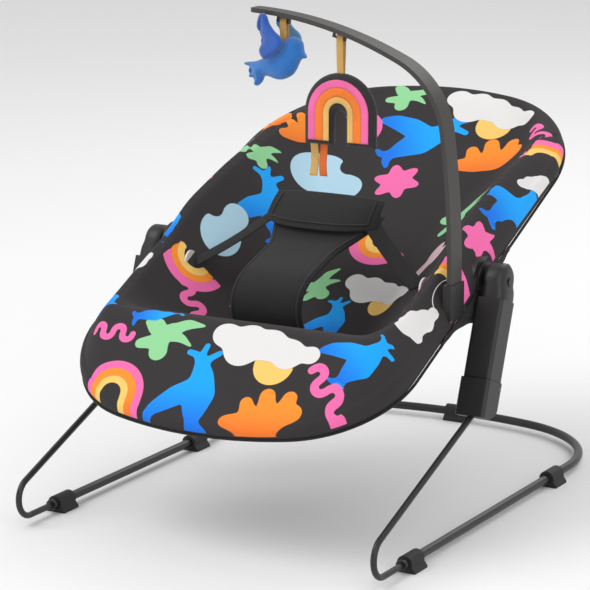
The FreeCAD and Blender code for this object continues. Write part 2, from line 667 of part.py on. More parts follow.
def toy_ribbon(label, along, length):
    """Ribbon looped round the lower bar of a hook."""
    point, heading = bar_point(along)
    top = point.y - S.bar_thickness / 2 - 1.6
    half = S.ribbon_width / 2
    outer = box("RibbonOuter", (point.x - half, bar_y - 3.8, top - length), (point.x + half, bar_y + 3.8, top))
    inner = box("RibbonInner", (point.x - half - 1, bar_y - 2.6, top - length + 1.2),
                (point.x + half + 1, bar_y + 2.6, top - 1.2))
    node(cut("Ribbon", outer, inner), label)
    return Vector(point.x, bar_y, top - length)


def bird_toy():
    """Plush bird: round body and head, forked tail, beak and a raised wing on each side of the bar."""
    hang = toy_ribbon("bird_ribbon", hook_places[1], 30)
    middle = hang + Vector(-18, 0, -17.5)
    made = body("BirdTrunk", Placement(middle, Rotation(Y, -24)))
    face = sketch(made, "XZ_Plane", "BirdFace")
    outline(face, [(-40, -4), (-16, -14), (2, -16.5, "via"), (17, -12.4), (28.4, -1, "via"), (17, 10.4),
                   (0, 14, "via"), (-16, 11.5), (-40, 5)])
    pad(made, face, "BirdPad", "bird_thickness", middle=True)
    tail = box("BirdTail", (-52, -5, -9), (-20, 5, 9), Placement(middle, Rotation(Y, 8)))
    beak = box("BirdBeak", (24, -3, -4), (36, 3, 4), Placement(middle, Rotation(Y, -18)))
    raised = Placement(middle, Rotation(Y, -14))
    wings = []
    for way in (1, -1):
        out = way * (S.bar_width / 2 + 4.5)
        wings.append(box("BirdWing", (-12, out - 3, -4), (12, out + 3, S.wing_height), raised))
        roots = sorted((way * (S.bird_thickness / 2 - 2), out + way * 3))
        wings.append(box("BirdShoulder", (-12, roots[0], -6), (12, roots[1], 8), raised))
    node(fuse("Bird", made, tail, beak, *wings), "bird_toy")


def rainbow_toy():
    """Padded rainbow: an arch with a slit, and two short ribbon tails."""
    hang = toy_ribbon("rainbow_ribbon", hook_places[0], 42)
    half, tall, slit = S.rainbow_width / 2, S.rainbow_height, S.rainbow_slit / 2
    made = body("Rainbow", Placement(hang + Vector(0, 0, -tall - 0.2), Rotation()))
    face = sketch(made, "XZ_Plane", "RainbowFace")
    outline(face, [(-half, 0), (-slit, 0), (-slit, 26), (0, 26 + slit, "via"), (slit, 26), (slit, 0), (half, 0),
                   (half, tall - half), (0, tall, "via"), (-half, tall - half)])
    pad(made, face, "RainbowPad", "toy_thickness", middle=True)
    node(made, "rainbow_toy")
    foot = hang + Vector(-half * 0.62, 0, -tall - 0.5)
    tails = [box("TailStrip", (foot.x + shift - 5, foot.y - 1, foot.z - 36), (foot.x + shift + 5, foot.y + 1, foot.z))
             for shift in (-5.2, 5.2)]
    both = doc.addObject("Part::Compound", "Tails")
    both.Links = tails
    node(both, "rainbow_tails")


# ---------------------------------------------------------------- build

base_tube()
for side, sign in SIDES:
    rod_end, rod_axis = spring_rod(side, sign)
    crimp_collar(side, sign)
    rubber_foot("foot_front_" + side, sign * S.track / 2, S.front_foot_back - S.bend_reach)
    back = S.right_foot_back if sign > 0 else S.left_foot_back
    rubber_foot("foot_rear_" + side, sign * S.track / 2, back - S.bend_reach)
    boot(side, sign, rod_end, rod_axis)
    fold_pin(side, sign)
    post_core(side, sign)
    sleeve(side, sign)
    hub_cap(side, sign)
    lock_disc(side, sign)
    seat_hub(side, sign)
rubber_foot("foot_rear_middle", 0, S.rear_reach, turn=90, give=0.3)
seat_loop()
seat_fabric()
harness()
toy_bar_socket()
toy_bar()
bird_toy()
rainbow_toy()
doc.recompute()

for feature in doc.Objects:
    if "Invalid" in feature.State or "Error" in feature.State:
        raise RuntimeError("%s (%s) failed: %s" % (feature.Name, feature.Label, feature.getStatusString()))
for piece in nodes:
    if piece.Shape.isNull() or not piece.Shape.isValid() or not piece.Shape.Solids:
        raise RuntimeError("%s has no valid solid" % piece.Label)

os.makedirs("parts", exist_ok=True)
for piece in nodes:
    piece.Shape.exportStep("parts/%s.step" % piece.Label)
    print("%-24s %2d solid %10.0f mm3" % (piece.Label, len(piece.Shape.Solids), piece.Shape.Volume))
print(len(nodes), "nodes")
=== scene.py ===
"""Baby bouncer seat: the looks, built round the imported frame. Metres, +Z up, foot end to -Y."""
import math

import bmesh
import bpy
import numpy as np
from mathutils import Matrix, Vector


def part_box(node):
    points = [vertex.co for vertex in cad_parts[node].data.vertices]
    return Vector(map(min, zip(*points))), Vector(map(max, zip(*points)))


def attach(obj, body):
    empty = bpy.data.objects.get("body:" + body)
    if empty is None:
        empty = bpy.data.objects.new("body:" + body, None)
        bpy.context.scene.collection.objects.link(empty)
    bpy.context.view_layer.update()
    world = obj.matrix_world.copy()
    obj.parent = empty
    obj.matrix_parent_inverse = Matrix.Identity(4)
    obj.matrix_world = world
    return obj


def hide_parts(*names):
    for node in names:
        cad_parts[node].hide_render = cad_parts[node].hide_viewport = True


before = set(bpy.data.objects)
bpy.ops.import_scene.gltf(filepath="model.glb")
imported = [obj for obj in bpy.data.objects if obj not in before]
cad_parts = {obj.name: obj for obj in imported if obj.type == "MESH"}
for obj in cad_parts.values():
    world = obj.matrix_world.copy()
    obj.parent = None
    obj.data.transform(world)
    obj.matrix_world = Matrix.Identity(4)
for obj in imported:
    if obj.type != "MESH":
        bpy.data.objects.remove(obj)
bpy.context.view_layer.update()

# ---------------------------------------------------------------- sizes

pitch = math.radians(24.7)            # slope of the seat loop
loop_half = 0.1925                    # tube centre from the middle of the seat
loop_length = 0.658
foot_corner, head_corner = 0.118, 0.150
bow = math.radians(14)
wrap = 0.0085                         # cover outside the tube's centre line
knee, crest, sag = 0.119, 0.056, 0.056
hub_along = 0.305
bar_low, bar_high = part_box("toy_bar")
bar_y = (bar_low.y + bar_high.y) / 2
seat_start = Vector((0, -0.3105, 0.142))
along_axis = np.array([0, math.cos(pitch), math.sin(pitch)])
up_axis = np.array([0, -math.sin(pitch), math.cos(pitch)])


def to_model(x, s, n):
    """Seat coordinates (across, along the seat, above the loop's plane) to the model's."""
    point = np.outer(np.ravel(s), along_axis) + np.outer(np.ravel(n), up_axis) + np.array(seat_start)
    point[:, 0] += np.ravel(x)
    return point


# ---------------------------------------------------------------- mesh helpers

def mesh_piece(name, points, faces, smooth=True):
    """A mesh object at the origin from an array of points and a list of faces."""
    data = bpy.data.meshes.new(name)
    data.from_pydata(np.asarray(points, float).tolist(), [], np.asarray(faces).tolist() if len(faces) else [])
    data.update()
    data.polygons.foreach_set("use_smooth", np.full(len(data.polygons), smooth))
    piece = bpy.data.objects.new(name, data)
    bpy.context.collection.objects.link(piece)
    return piece


def grid_faces(rows, columns, wrap_rows=False, wrap_columns=False):
    """Quads of a grid whose point (i, j) has the number i * columns + j."""
    i = np.arange(rows if wrap_rows else rows - 1)
    j = np.arange(columns if wrap_columns else columns - 1)
    i, j = np.meshgrid(i, j, indexing="ij")
    ni, nj = (i + 1) % rows, (j + 1) % columns
    return np.stack([i * columns + j, ni * columns + j, ni * columns + nj, i * columns + nj], -1).reshape(-1, 4)


def tidy(piece, distance=1e-5):
    """Merges doubles and turns every face outwards."""
    work = bmesh.new()
    work.from_mesh(piece.data)
    bmesh.ops.remove_doubles(work, verts=work.verts, dist=distance)
    bmesh.ops.dissolve_degenerate(work, edges=work.edges, dist=distance / 10)
    bmesh.ops.recalc_face_normals(work, faces=work.faces)
    work.to_mesh(piece.data)
    work.free()
    piece.data.polygons.foreach_set("use_smooth", np.full(len(piece.data.polygons), True))
    piece.data.update()
    return piece


def smooth_line(points, spread, step=0.001):
    """A line of (along, height) points resampled every step and softened by a Gaussian of that spread."""
    points = np.array(points, float)
    along = np.arange(points[0, 0] - 4 * spread, points[-1, 0] + 4 * spread, step)
    height = np.interp(along, points[:, 0], points[:, 1])
    reach = np.arange(-3 * spread, 3 * spread + step, step)
    kernel = np.exp(-(reach / spread) ** 2 / 2)
    padded = np.pad(height, len(reach) // 2, mode="edge")
    soft = np.convolve(padded, kernel / kernel.sum(), "valid")[:len(along)]
    return along, soft


def smoothstep(low, high, value):
    share = np.clip((value - low) / (high - low), 0, 1)
    return share * share * (3 - 2 * share)


def tube(name, path, radius, sides=12, closed=False):
    """A round tube along a path: rings square to the path's direction, turned with no twist about a fixed axis."""
    path = np.asarray(path, float)
    count = len(path)
    ahead = np.roll(path, -1, 0) - np.roll(path, 1, 0) if closed else np.gradient(path, axis=0)
    ahead /= np.linalg.norm(ahead, axis=1)[:, None]
    spread = np.ptp(path, axis=0)
    fixed = np.eye(3)[int(np.argmin(spread))]
    side = np.cross(ahead, fixed)
    side /= np.linalg.norm(side, axis=1)[:, None]
    over = np.cross(side, ahead)
    turn = np.linspace(0, 2 * math.pi, sides, endpoint=False)
    radius = np.broadcast_to(radius, (count,))[:, None, None]
    ring = path[:, None] + radius * (np.cos(turn)[None, :, None] * side[:, None] + np.sin(turn)[None, :, None] * over[:, None])
    points = ring.reshape(-1, 3)
    faces = [list(f) for f in grid_faces(count, sides, wrap_rows=closed, wrap_columns=True)]
    if not closed:
        faces += [list(range(sides))[::-1], [(count - 1) * sides + k for k in range(sides)]]
    piece = bpy.data.objects.new(name, bpy.data.meshes.new(name))
    piece.data.from_pydata(points.tolist(), [], [[int(k) for k in f] for f in faces])
    bpy.context.collection.objects.link(piece)
    return tidy(piece)


# ---------------------------------------------------------------- seat surface

def loop_outline(count, out):
    """Plan of the seat's edge: two straight sides, arc corners and a wide arc across each end, out from the tube."""
    half = loop_half + out

    def end(corner, reach):
        """Corner arc and half of the end arc on the right side, from the side to the middle."""
        corner = corner + out
        shoulder = half - corner + corner * math.sin(bow)
        crown = shoulder / math.sin(bow)
        leg = reach - crown - corner * math.cos(bow) + crown * math.cos(bow)
        a = np.linspace(0, math.pi / 2 - bow, 60)
        b = np.linspace(math.pi / 2 - bow, math.pi / 2, 40)[1:]
        x = np.concatenate([half - corner + corner * np.cos(a), crown * np.cos(b)])
        y = np.concatenate([leg + corner * np.sin(a), reach - crown + crown * np.sin(b)])
        return np.stack([x, y], 1)

    middle = loop_length / 2
    head = end(head_corner, middle + out)
    foot = end(foot_corner, middle + out)
    foot[:, 1] *= -1
    right = np.concatenate([foot[::-1], head])
    ring = np.concatenate([right, (right * [-1, 1])[::-1][1:-1]])
    ring[:, 1] += middle
    ring = np.concatenate([ring, ring[:1]])
    run = np.concatenate([[0], np.cumsum(np.hypot(*np.diff(ring, axis=0).T))])
    at = np.linspace(0, run[-1], count, endpoint=False)
    return np.stack([np.interp(at, run, ring[:, 0]), np.interp(at, run, ring[:, 1])], 1)


edge_ring = loop_outline(1600, wrap)


def edge_half(s):
    """Half width of the seat at a place along it."""
    right = edge_ring[edge_ring[:, 0] >= -1e-6]
    right = right[np.argsort(right[:, 1])]
    return np.interp(s, right[:, 1], right[:, 0], left=0.0, right=0.0)


floor_curve = smooth_line([(-0.012, 0.0085), (0.006, 0.0095), (knee - 0.006, crest), (knee + 0.012, crest - 0.008),
                           (knee + 0.060, -sag * 0.62), (knee + 0.100, -sag), (hub_along, -sag + 0.008),
                           (0.550, -0.012), (0.640, 0.0075), (0.670, 0.0085)], 0.009)
ridge_curve = smooth_line([(-0.012, 0.0085), (0.006, 0.0095), (knee - 0.006, crest), (0.169, 0.047), (0.265, 0.046),
                           (0.327, 0.054), (0.410, 0.048), (0.478, 0.038), (0.584, 0.016), (0.650, 0.0090), (0.670, 0.0085)],
                          0.010)
band_curve = smooth_line([(-0.01, 0.018), (0.03, 0.026), (0.119, 0.040), (0.169, 0.030), (0.33, 0.028), (0.46, 0.034),
                          (0.58, 0.032), (0.66, 0.020)], 0.012)


def on_line(line, s):
    return np.interp(s, *line)


map_step = 0.0015
map_x = np.arange(0, 0.2131, map_step)
map_s = np.arange(-0.018, 0.6805, map_step)


def height_map():
    """Seat's top over its plan: a bowl from the floor line up to the ridge, then a rounded band down to the edge."""
    x, s = np.meshgrid(map_x, map_s, indexing="ij")
    low, high = on_line(floor_curve, s), on_line(ridge_curve, s)
    edge = np.maximum(edge_half(s), 1e-3)
    ridge = np.maximum(edge - on_line(band_curve, s), edge * 0.25)
    depth = np.maximum(high - low, 0)
    wall = np.clip(depth * 1.05 + 0.012, 0.025, 0.125)
    share = np.clip((x - (ridge - wall)) / wall, 0, 1)
    inside = low + (high - low) * share ** 1.6
    out = np.clip((x - ridge) / np.maximum(edge - ridge, 1e-3), 0, 1)
    rim = 0.0085
    band = rim + (high - rim) * (1 - out ** 1.5)
    top = np.where(x < ridge, inside, band)
    reach = np.arange(-6, 7)
    kernel = np.exp(-(reach / 3.0) ** 2 / 2)
    kernel /= kernel.sum()
    soft = np.pad(np.concatenate([top[6:0:-1], top]), ((0, 6), (6, 6)), mode="edge")
    soft = np.apply_along_axis(lambda line: np.convolve(line, kernel, "valid"), 0, soft)
    soft = np.apply_along_axis(lambda line: np.convolve(line, kernel, "valid"), 1, soft)
    return soft


top_map = height_map()


def sample(table, x, s):
    """Bilinear value of a table over the plan."""
    a = np.clip(np.abs(x) / map_step, 0, len(map_x) - 1.001)
    b = np.clip((s - map_s[0]) / map_step, 0, len(map_s) - 1.001)
    i, j = a.astype(int), b.astype(int)
    p, q = a - i, b - j
    return ((table[i, j] * (1 - q) + table[i, j + 1] * q) * (1 - p)
            + (table[i + 1, j] * (1 - q) + table[i + 1, j + 1] * q) * p)


slope_x = np.gradient(top_map, map_step, axis=0)
across_map = np.cumsum(np.sqrt(1 + slope_x ** 2), axis=0) * map_step - map_step
mid_row = top_map[int(0.09 / map_step)]
along_line = np.cumsum(np.sqrt(1 + np.gradient(mid_row, map_step) ** 2)) * map_step


def cloth_place(x, s):
    """Place on the flat cloth: length over the surface across the seat, and along it."""
    return np.sign(x) * sample(across_map, x, s), np.interp(s, map_s, along_line)


# ---------------------------------------------------------------- print

def disc(u, v, radius):
    return np.hypot(u, v) - radius


def polar(u, v, radius, lobes, swing, phase=0.0):
    """Closed shape whose radius swings with the angle: radius * (1 + swing * cos(lobes * angle + phase))."""
    angle = np.arctan2(v, u)
    return np.hypot(u, v) - radius * (1 + swing * np.cos(lobes * angle + phase))


def stroke(u, v, points, radii):
    """Distance to a brush stroke: discs along a softened line through points, their radius running through radii."""
    knots = np.linspace(0, 1, len(points))
    even = np.linspace(0, 1, 9 * len(points))
    lines = [np.interp(even, knots, values) for values in (*np.array(points, float).T, radii)]
    lines[:2] = [np.convolve(np.pad(line, 3, mode="edge"), np.ones(7) / 7, "valid") for line in lines[:2]]
    total = np.full_like(u, 1.0)
    for a, b, radius in zip(*lines):
        total = np.minimum(total, np.hypot(u - a, v - b) - radius)
    return total


def join(parts, blend=0.004):
    """Several distances run together with a soft join."""
    total = sum(np.exp(-part / blend) for part in parts)
    return -blend * np.log(total)


def songbird(u, v):
    """Round-bellied body with a comb of three points, a swept wing and a forked tail."""
    return join([stroke(u, v, [(0.017, -0.044), (0.013, -0.026), (0.011, -0.008), (0.009, 0.010), (0.003, 0.027)],
                        [0.004, 0.012, 0.018, 0.013, 0.007]),
                 stroke(u, v, [(0.002, -0.002), (-0.014, -0.012), (-0.030, -0.026), (-0.038, -0.038)],
                        [0.012, 0.012, 0.009, 0.004]),
                 stroke(u, v, [(0.002, 0.027), (-0.006, 0.036), (-0.015, 0.038)], [0.005, 0.0036, 0.0030]),
                 stroke(u, v, [(0.003, 0.027), (0.001, 0.038), (0.003, 0.047)], [0.005, 0.0036, 0.0030]),
                 stroke(u, v, [(0.005, 0.027), (0.012, 0.034), (0.020, 0.040)], [0.005, 0.0036, 0.0030]),
                 stroke(u, v, [(0.015, -0.040), (0.024, -0.046), (0.034, -0.047)], [0.006, 0.0045, 0.0020]),
                 stroke(u, v, [(0.016, -0.040), (0.011, -0.049), (0.003, -0.052)], [0.005, 0.0040, 0.0020])], 0.0012)


def squiggle(u, v, length=0.070, swing=0.0105, width=0.0052):
    """Wavy line: round dots run together along two round waves."""
    total = np.full_like(u, 1.0)
    for t in np.linspace(-0.5, 0.5, 60):
        turn = t * 4 * math.pi
        total = np.minimum(total, np.hypot(u - t * length + 0.0026 * math.sin(2 * turn), v - swing * math.sin(turn)))
    return total - width


def cloud(u, v):
    return join([disc(u - a, v - b, radius) for a, b, radius in
                 ((-0.046, 0.006, 0.013), (-0.022, -0.006, 0.019), (-0.020, 0.010, 0.012), (0.004, 0.003, 0.017),
                  (0.028, -0.004, 0.016), (0.052, -0.001, 0.009))], 0.004)


def leaves(u, v):
    """Two round lobes on one side of a stem and two blades on the other."""
    return join([stroke(u, v, [(0, -0.022), (-0.004, -0.006), (0.004, 0.008)], [0.011, 0.010, 0.008]),
                 stroke(u, v, [(-0.002, 0), (-0.016, 0.008), (-0.026, 0.014)], [0.007, 0.010, 0.007]),
                 stroke(u, v, [(0, -0.008), (-0.016, -0.012), (-0.027, -0.016)], [0.007, 0.008, 0.006]),
                 stroke(u, v, [(0.004, 0.006), (0.020, 0.018), (0.042, 0.020)], [0.008, 0.007, 0.0012]),
                 stroke(u, v, [(0.004, 0), (0.020, 0.000), (0.036, -0.007)], [0.007, 0.005, 0.0012])], 0.0012)


def shell(u, v):
    """Comb-edged crest: a bowed base under a row of round points."""
    return join([stroke(u, v, [(-0.038, -0.013), (-0.014, -0.012), (0.010, -0.008), (0.032, 0.002)], [0.007, 0.012, 0.013, 0.009]),
                 stroke(u, v, [(-0.016, -0.004), (-0.021, 0.009)], [0.009, 0.0065]),
                 stroke(u, v, [(0.002, 0), (-0.001, 0.018)], [0.010, 0.0080]),
                 stroke(u, v, [(0.020, 0.004), (0.023, 0.017)], [0.009, 0.0075])], 0.0015)


def kidney(u, v):
    """Round pebble with a bite out of its upper right and a lobe beside it."""
    whole = join([disc(u + 0.012, v - 0.002, 0.027), disc(u - 0.024, v + 0.008, 0.016)], 0.005)
    return np.maximum(whole, -disc(u - 0.016, v - 0.022, 0.013))


def arch(u, v, inner, outer):
    """Band of an upright arch between two radii, open below."""
    around = np.where(v > 0, np.hypot(u, v), np.abs(u))
    band = np.maximum(around - outer, inner - around)
    return np.maximum(band, -v - 0.030)


COLOURS = {
    "off_white": (0.78, 0.77, 0.76), "yellow": (0.95, 0.60, 0.15), "pale_pink": (0.80, 0.57, 0.60),
    "green": (0.29, 0.67, 0.32), "light_blue": (0.44, 0.67, 0.80), "blue": (0.0, 0.385, 1.0),
    "pink": (0.93, 0.155, 0.43), "orange": (1.0, 0.29, 0.022),
}
# Darker copies of blue and orange for painted shade: these motifs darken towards their bottom, standing for shade where
# the cloth turns under.
SHADED_INKS = {"blue": (0.0, 0.17, 0.80), "orange": (0.85, 0.11, 0.015)}

# motif, across, along, turn in degrees, size, panel ("out" for apron and side bands, "in" for pocket and back)
MOTIFS = [
    # apron and sides
    ("rainbow", -0.116, 0.016, 6, 1.12, "out"), ("songbird", -0.022, 0.036, 2, 1.08, "out"),
    ("shell", 0.074, 0.020, 4, 1.12, "out"), ("cloud_sun", 0.046, 0.090, -2, 1.12, "out"),
    ("leaves", -0.076, 0.088, -4, 1.00, "out"), ("squiggle", -0.142, 0.084, 0, 0.72, "out"),
    ("songbird", 0.160, 0.098, -40, 0.86, "out"), ("squiggle", 0.137, 0.052, -40, 0.95, "out"),
    ("songbird", -0.096, 0.122, -76, 0.66, "out"), ("songbird", -0.160, 0.134, -62, 0.62, "out"),
    ("cloud", 0.186, 0.172, 62, 0.80, "out"), ("arch", 0.182, 0.242, -38, 0.80, "out"),
    ("flower", 0.189, 0.332, 10, 0.90, "out"), ("songbird", 0.190, 0.418, -24, 0.98, "out"),
    ("arch", 0.190, 0.512, 24, 0.90, "out"), ("cloud", -0.188, 0.190, 70, 0.7, "out"),
    ("songbird", -0.190, 0.290, 30, 0.9, "out"), ("flower", -0.188, 0.380, 0, 0.75, "out"),
    ("leaves", -0.186, 0.460, 60, 0.8, "out"), ("shell", -0.180, 0.545, 60, 0.8, "out"),
    ("cloud", 0.197, 0.474, 70, 0.5, "out"),
    # pocket and back
    ("kidney", -0.092, 0.490, -6, 1.30, "in"), ("flower", -0.002, 0.496, 0, 1.05, "in"),
    ("songbird", 0.000, 0.580, -58, 1.18, "in"), ("shell", 0.096, 0.552, 8, 1.12, "in"),
    ("cloud_sun", 0.068, 0.624, -12, 1.10, "in"), ("squiggle", 0.160, 0.566, -38, 0.80, "in"),
    ("leaves", 0.112, 0.436, 20, 1.00, "in"), ("leaves", -0.046, 0.636, -10, 0.80, "in"),
    ("petals", 0.116, 0.346, 10, 1.05, "in"), ("cloud_sun", 0.058, 0.316, -12, 0.90, "in"),
    ("songbird", 0.014, 0.268, 4, 0.72, "in"), ("leaves", -0.022, 0.316, 40, 0.75, "in"),
    ("tip", 0.024, 0.400, 150, 0.80, "in"), ("songbird", -0.128, 0.404, 26, 1.10, "in"),
    ("kidney", -0.140, 0.330, 100, 1.02, "in"), ("tip", -0.146, 0.268, 170, 0.86, "in"),
    ("squiggle", -0.124, 0.212, -30, 0.85, "in"), ("shell", -0.088, 0.262, 80, 0.80, "in"),
    ("leaves", -0.156, 0.462, 30, 0.70, "in"), ("shell", -0.146, 0.548, 38, 0.90, "in"),
    ("arch", -0.090, 0.574, -40, 0.62, "in"), ("squiggle", 0.150, 0.240, 70, 0.7, "in"),
    ("flower", -0.030, 0.222, 20, 0.7, "in"), ("squiggle", 0.158, 0.494, 70, 0.62, "in"),
    ("petals", -0.060, 0.412, 20, 0.7, "in"),
]


def motif_layers(kind, u, v):
    """(colour, distance) pairs of one motif about its own middle, the lowest first."""
    if kind == "rainbow":
        return [("pink", arch(u, v, 0.027, 0.036)), ("orange", arch(u, v, 0.0185, 0.028)), ("yellow", arch(u, v, 0.0120, 0.0195))]
    if kind in ("arch", "tip"):
        foot = -v if kind == "arch" else np.maximum(-v, u - 0.030)
        return [(name, np.maximum(arch(u, v, inner, outer), foot))
                for name, inner, outer in (("pink", 0.037, 0.052), ("orange", 0.027, 0.038), ("yellow", 0.017, 0.028))]
    if kind == "cloud_sun":
        return [("yellow", np.maximum(disc(u - 0.018, v + 0.018, 0.021), -cloud(u, v))), ("off_white", cloud(u, v))]
    single = {"songbird": ("blue", songbird), "cloud": ("off_white", cloud), "leaves": ("green", leaves),
              "squiggle": ("pink", squiggle), "shell": ("orange", shell), "kidney": ("light_blue", kidney)}
    if kind in single:
        colour, shape = single[kind]
        return [(colour, shape(u, v))]
    if kind == "flower":
        return [("pink", polar(u, v, 0.0235, 6, 0.22, 0.5))]
    return [("pale_pink", polar(u, v, 0.023, 3, 0.34, 1.4))]


def print_layers(x, s, panel):
    """Signed distance to each colour of the print, in metres, and how deep the painted shade is that darkens blue and
    orange motifs towards their bottom.

    The panel distance is below nought inside the pocket and back, which cuts each motif at the seam."""
    u, v = cloth_place(x, s)
    layers = {name: np.full(len(x), 0.05) for name in COLOURS}
    painted_shade = np.zeros(len(x))
    for kind, across, along, turn, size, where in MOTIFS:
        du, dv = cloth_place(np.array([across]), np.array([along]))
        a = math.radians(turn)
        p, q = (u - du) / size, (v - dv) / size
        p, q = p * math.cos(a) + q * math.sin(a), q * math.cos(a) - p * math.sin(a)
        near = np.hypot(p, q) < 0.085
        p, q = p[near], q[near]
        bound = (panel if where == "in" else -panel)[near]
        for colour, distance in motif_layers(kind, p, q):
            shape = np.maximum(distance * size, bound)
            for other in layers:
                if other != colour:
                    layers[other][near] = np.maximum(layers[other][near], -shape)
            layers[colour][near] = np.minimum(layers[colour][near], shape)
            # Painted shade: inside each motif the colour darkens towards its bottom edge, standing for shade where the
            # cloth turns under.
            painted_shade[near] = np.where(shape < 0.001, smoothstep(0.012, -0.050, q), painted_shade[near])
    return layers, painted_shade


# ---------------------------------------------------------------- seat cover

def seat_cover():
    """Closed padded shell: rings run from a spine on the middle line out to the edge, round it and back below.

    Ring points are spine + share * (edge - spine). Above they take the height map, on the roll they turn half round
    the tube, and below they follow the floor a padding's thickness lower."""
    around, over, roll, under = 520, 92, 12, 30
    edge = loop_outline(around, wrap)
    spine = np.stack([np.zeros(around), np.clip(edge[:, 1], 0.11, 0.54)], 1)
    radius = 0.0080
    share = np.linspace(0, 1, over)[:, None]
    inner = edge + (spine - edge) / np.linalg.norm(spine - edge, axis=1)[:, None] * radius
    top = spine[None] + share[..., None] * (inner - spine)[None]
    x_top, s_top = top[..., 0], top[..., 1]
    n_top = sample(top_map, x_top, s_top)
    rim = n_top[-1]
    turn = np.linspace(math.pi / 2, -math.pi / 2, roll + 2)[1:-1][:, None]
    outward = (edge - inner) / np.linalg.norm(edge - inner, axis=1)[:, None]
    x_roll = inner[:, 0] + np.cos(turn) * radius * outward[:, 0]
    s_roll = inner[:, 1] + np.cos(turn) * radius * outward[:, 1]
    bottom = -wrap
    n_roll = (rim + bottom) / 2 + (rim - bottom) / 2 * np.sin(turn)
    back = np.linspace(1, 0, under)[:, None]
    low = spine[None] + back[..., None] * (inner - spine)[None]
    x_low, s_low = low[..., 0], low[..., 1]
    sling = np.minimum(on_line(floor_curve, s_low) - 0.010, sample(top_map, x_low, s_low) - 0.008)
    n_low = bottom + (np.minimum(sling, bottom) - bottom) * smoothstep(1.0, 0.55, back)
    n_low = np.minimum(n_low, sample(top_map, x_low, s_low) - 0.006)
    x = np.concatenate([x_top, x_roll, x_low])
    s = np.concatenate([s_top, s_roll, s_low])
    n = np.concatenate([n_top, n_roll, n_low])
    rows = len(x)
    pull = seam_pull(x, s) * (np.arange(rows)[:, None] < over)
    cover = mesh_piece("seat_cover", to_model(x, s, n - pull), grid_faces(rows, around, wrap_columns=True))
    flat_x, flat_s = x.ravel(), s.ravel()
    layers, painted_shade = print_layers(flat_x, flat_s, panel_distance(flat_x, flat_s))
    below = np.repeat(np.arange(rows) >= over + roll // 2 + 1, around)
    for name, distance in layers.items():
        values = np.where(below, 0.05, distance)
        slot = cover.data.attributes.new("print_" + name, "FLOAT", "POINT")
        slot.data.foreach_set("value", values.astype(np.float32))
    # The painted shade is kept as a point attribute of its own.
    painted_shade_slot = cover.data.attributes.new("print_painted_shade", "FLOAT", "POINT")
    painted_shade_slot.data.foreach_set("value", painted_shade.astype(np.float32))
    return tidy(cover, 2e-6)


def ridge_half(s):
    """Half width at which the bolster's seam runs."""
    edge = edge_half(s)
    return np.maximum(edge - on_line(band_curve, s), edge * 0.25)


def panel_distance(x, s):
    """Below nought inside the pocket and back panel: behind the knee seam and between the bolster seams."""
    fade = np.clip((0.60 - s) / 0.05, 0, 1)
    side = np.abs(x) - ridge_half(s) - 0.05 * (1 - fade)
    return np.maximum(side, knee + 0.004 - s)


def seam_pull(x, s):
    """Depth of the groove at the seams, with small puckers along it."""
    gap = np.abs(panel_distance(x, s))
    pucker = 1 + 0.35 * np.sin(2 * math.pi * (s / 0.013 + np.abs(x) / 0.017))
    return 0.0016 * pucker * np.exp(-(gap / 0.0028) ** 2)


# ---------------------------------------------------------------- materials

def material(name):
    made = bpy.data.materials.new(name)
    made.use_nodes = True
    tree = made.node_tree
    shader = tree.nodes["Principled BSDF"]
    return made, tree, shader


def add(tree, kind, **inputs):
    made = tree.nodes.new(kind)
    for key, value in inputs.items():
        made.inputs[key.replace("_", " ")].default_value = value
    return made


def weave_bump(tree, shader, scale, strength, distance=0.0003):
    """Fine crossed threads with a little unevenness, as a bump."""
    place = tree.nodes.new("ShaderNodeTexCoord")
    threads = [tree.nodes.new("ShaderNodeTexWave") for _ in range(2)]
    for wave, way in zip(threads, ("X", "DIAGONAL")):
        wave.bands_direction = way
        wave.inputs["Scale"].default_value = scale
        wave.inputs["Distortion"].default_value = 1.2
        tree.links.new(place.outputs["Object"], wave.inputs["Vector"])
    both = tree.nodes.new("ShaderNodeMath")
    both.operation = "ADD"
    tree.links.new(threads[0].outputs["Fac"], both.inputs[0])
    tree.links.new(threads[1].outputs["Fac"], both.inputs[1])
    bump = add(tree, "ShaderNodeBump", Strength=strength, Distance=distance)
    tree.links.new(both.outputs[0], bump.inputs["Height"])
    tree.links.new(bump.outputs["Normal"], shader.inputs["Normal"])


def varied(tree, shader, colour, spread, scale):
    """Base colour with a slow, slight change of brightness over the piece."""
    place = tree.nodes.new("ShaderNodeTexCoord")
    noise = add(tree, "ShaderNodeTexNoise", Scale=scale, Detail=3.0)
    tree.links.new(place.outputs["Object"], noise.inputs["Vector"])
    ramp = tree.nodes.new("ShaderNodeValToRGB")
    ramp.color_ramp.elements[0].position, ramp.color_ramp.elements[1].position = 0.3, 0.7
    ramp.color_ramp.elements[0].color = (*(c * (1 - spread) for c in colour), 1)
    ramp.color_ramp.elements[1].color = (*(min(c * (1 + spread), 1) for c in colour), 1)
    tree.links.new(noise.outputs["Fac"], ramp.inputs["Fac"])
    tree.links.new(ramp.outputs["Color"], shader.inputs["Base Color"])
    return noise


def mixed(tree, factor, low, high):
    """Colour mix of two colours or sockets by a factor socket."""
    mix = tree.nodes.new("ShaderNodeMix")
    mix.data_type = "RGBA"
    tree.links.new(factor, mix.inputs["Factor"])
    for place, value in ((6, low), (7, high)):
        if isinstance(value, tuple):
            mix.inputs[place].default_value = (*value, 1)
        else:
            tree.links.new(value, mix.inputs[place])
    return mix.outputs[2]


def read_attribute(tree, name):
    reader = tree.nodes.new("ShaderNodeAttribute")
    reader.attribute_name = name
    return reader.outputs["Fac"]


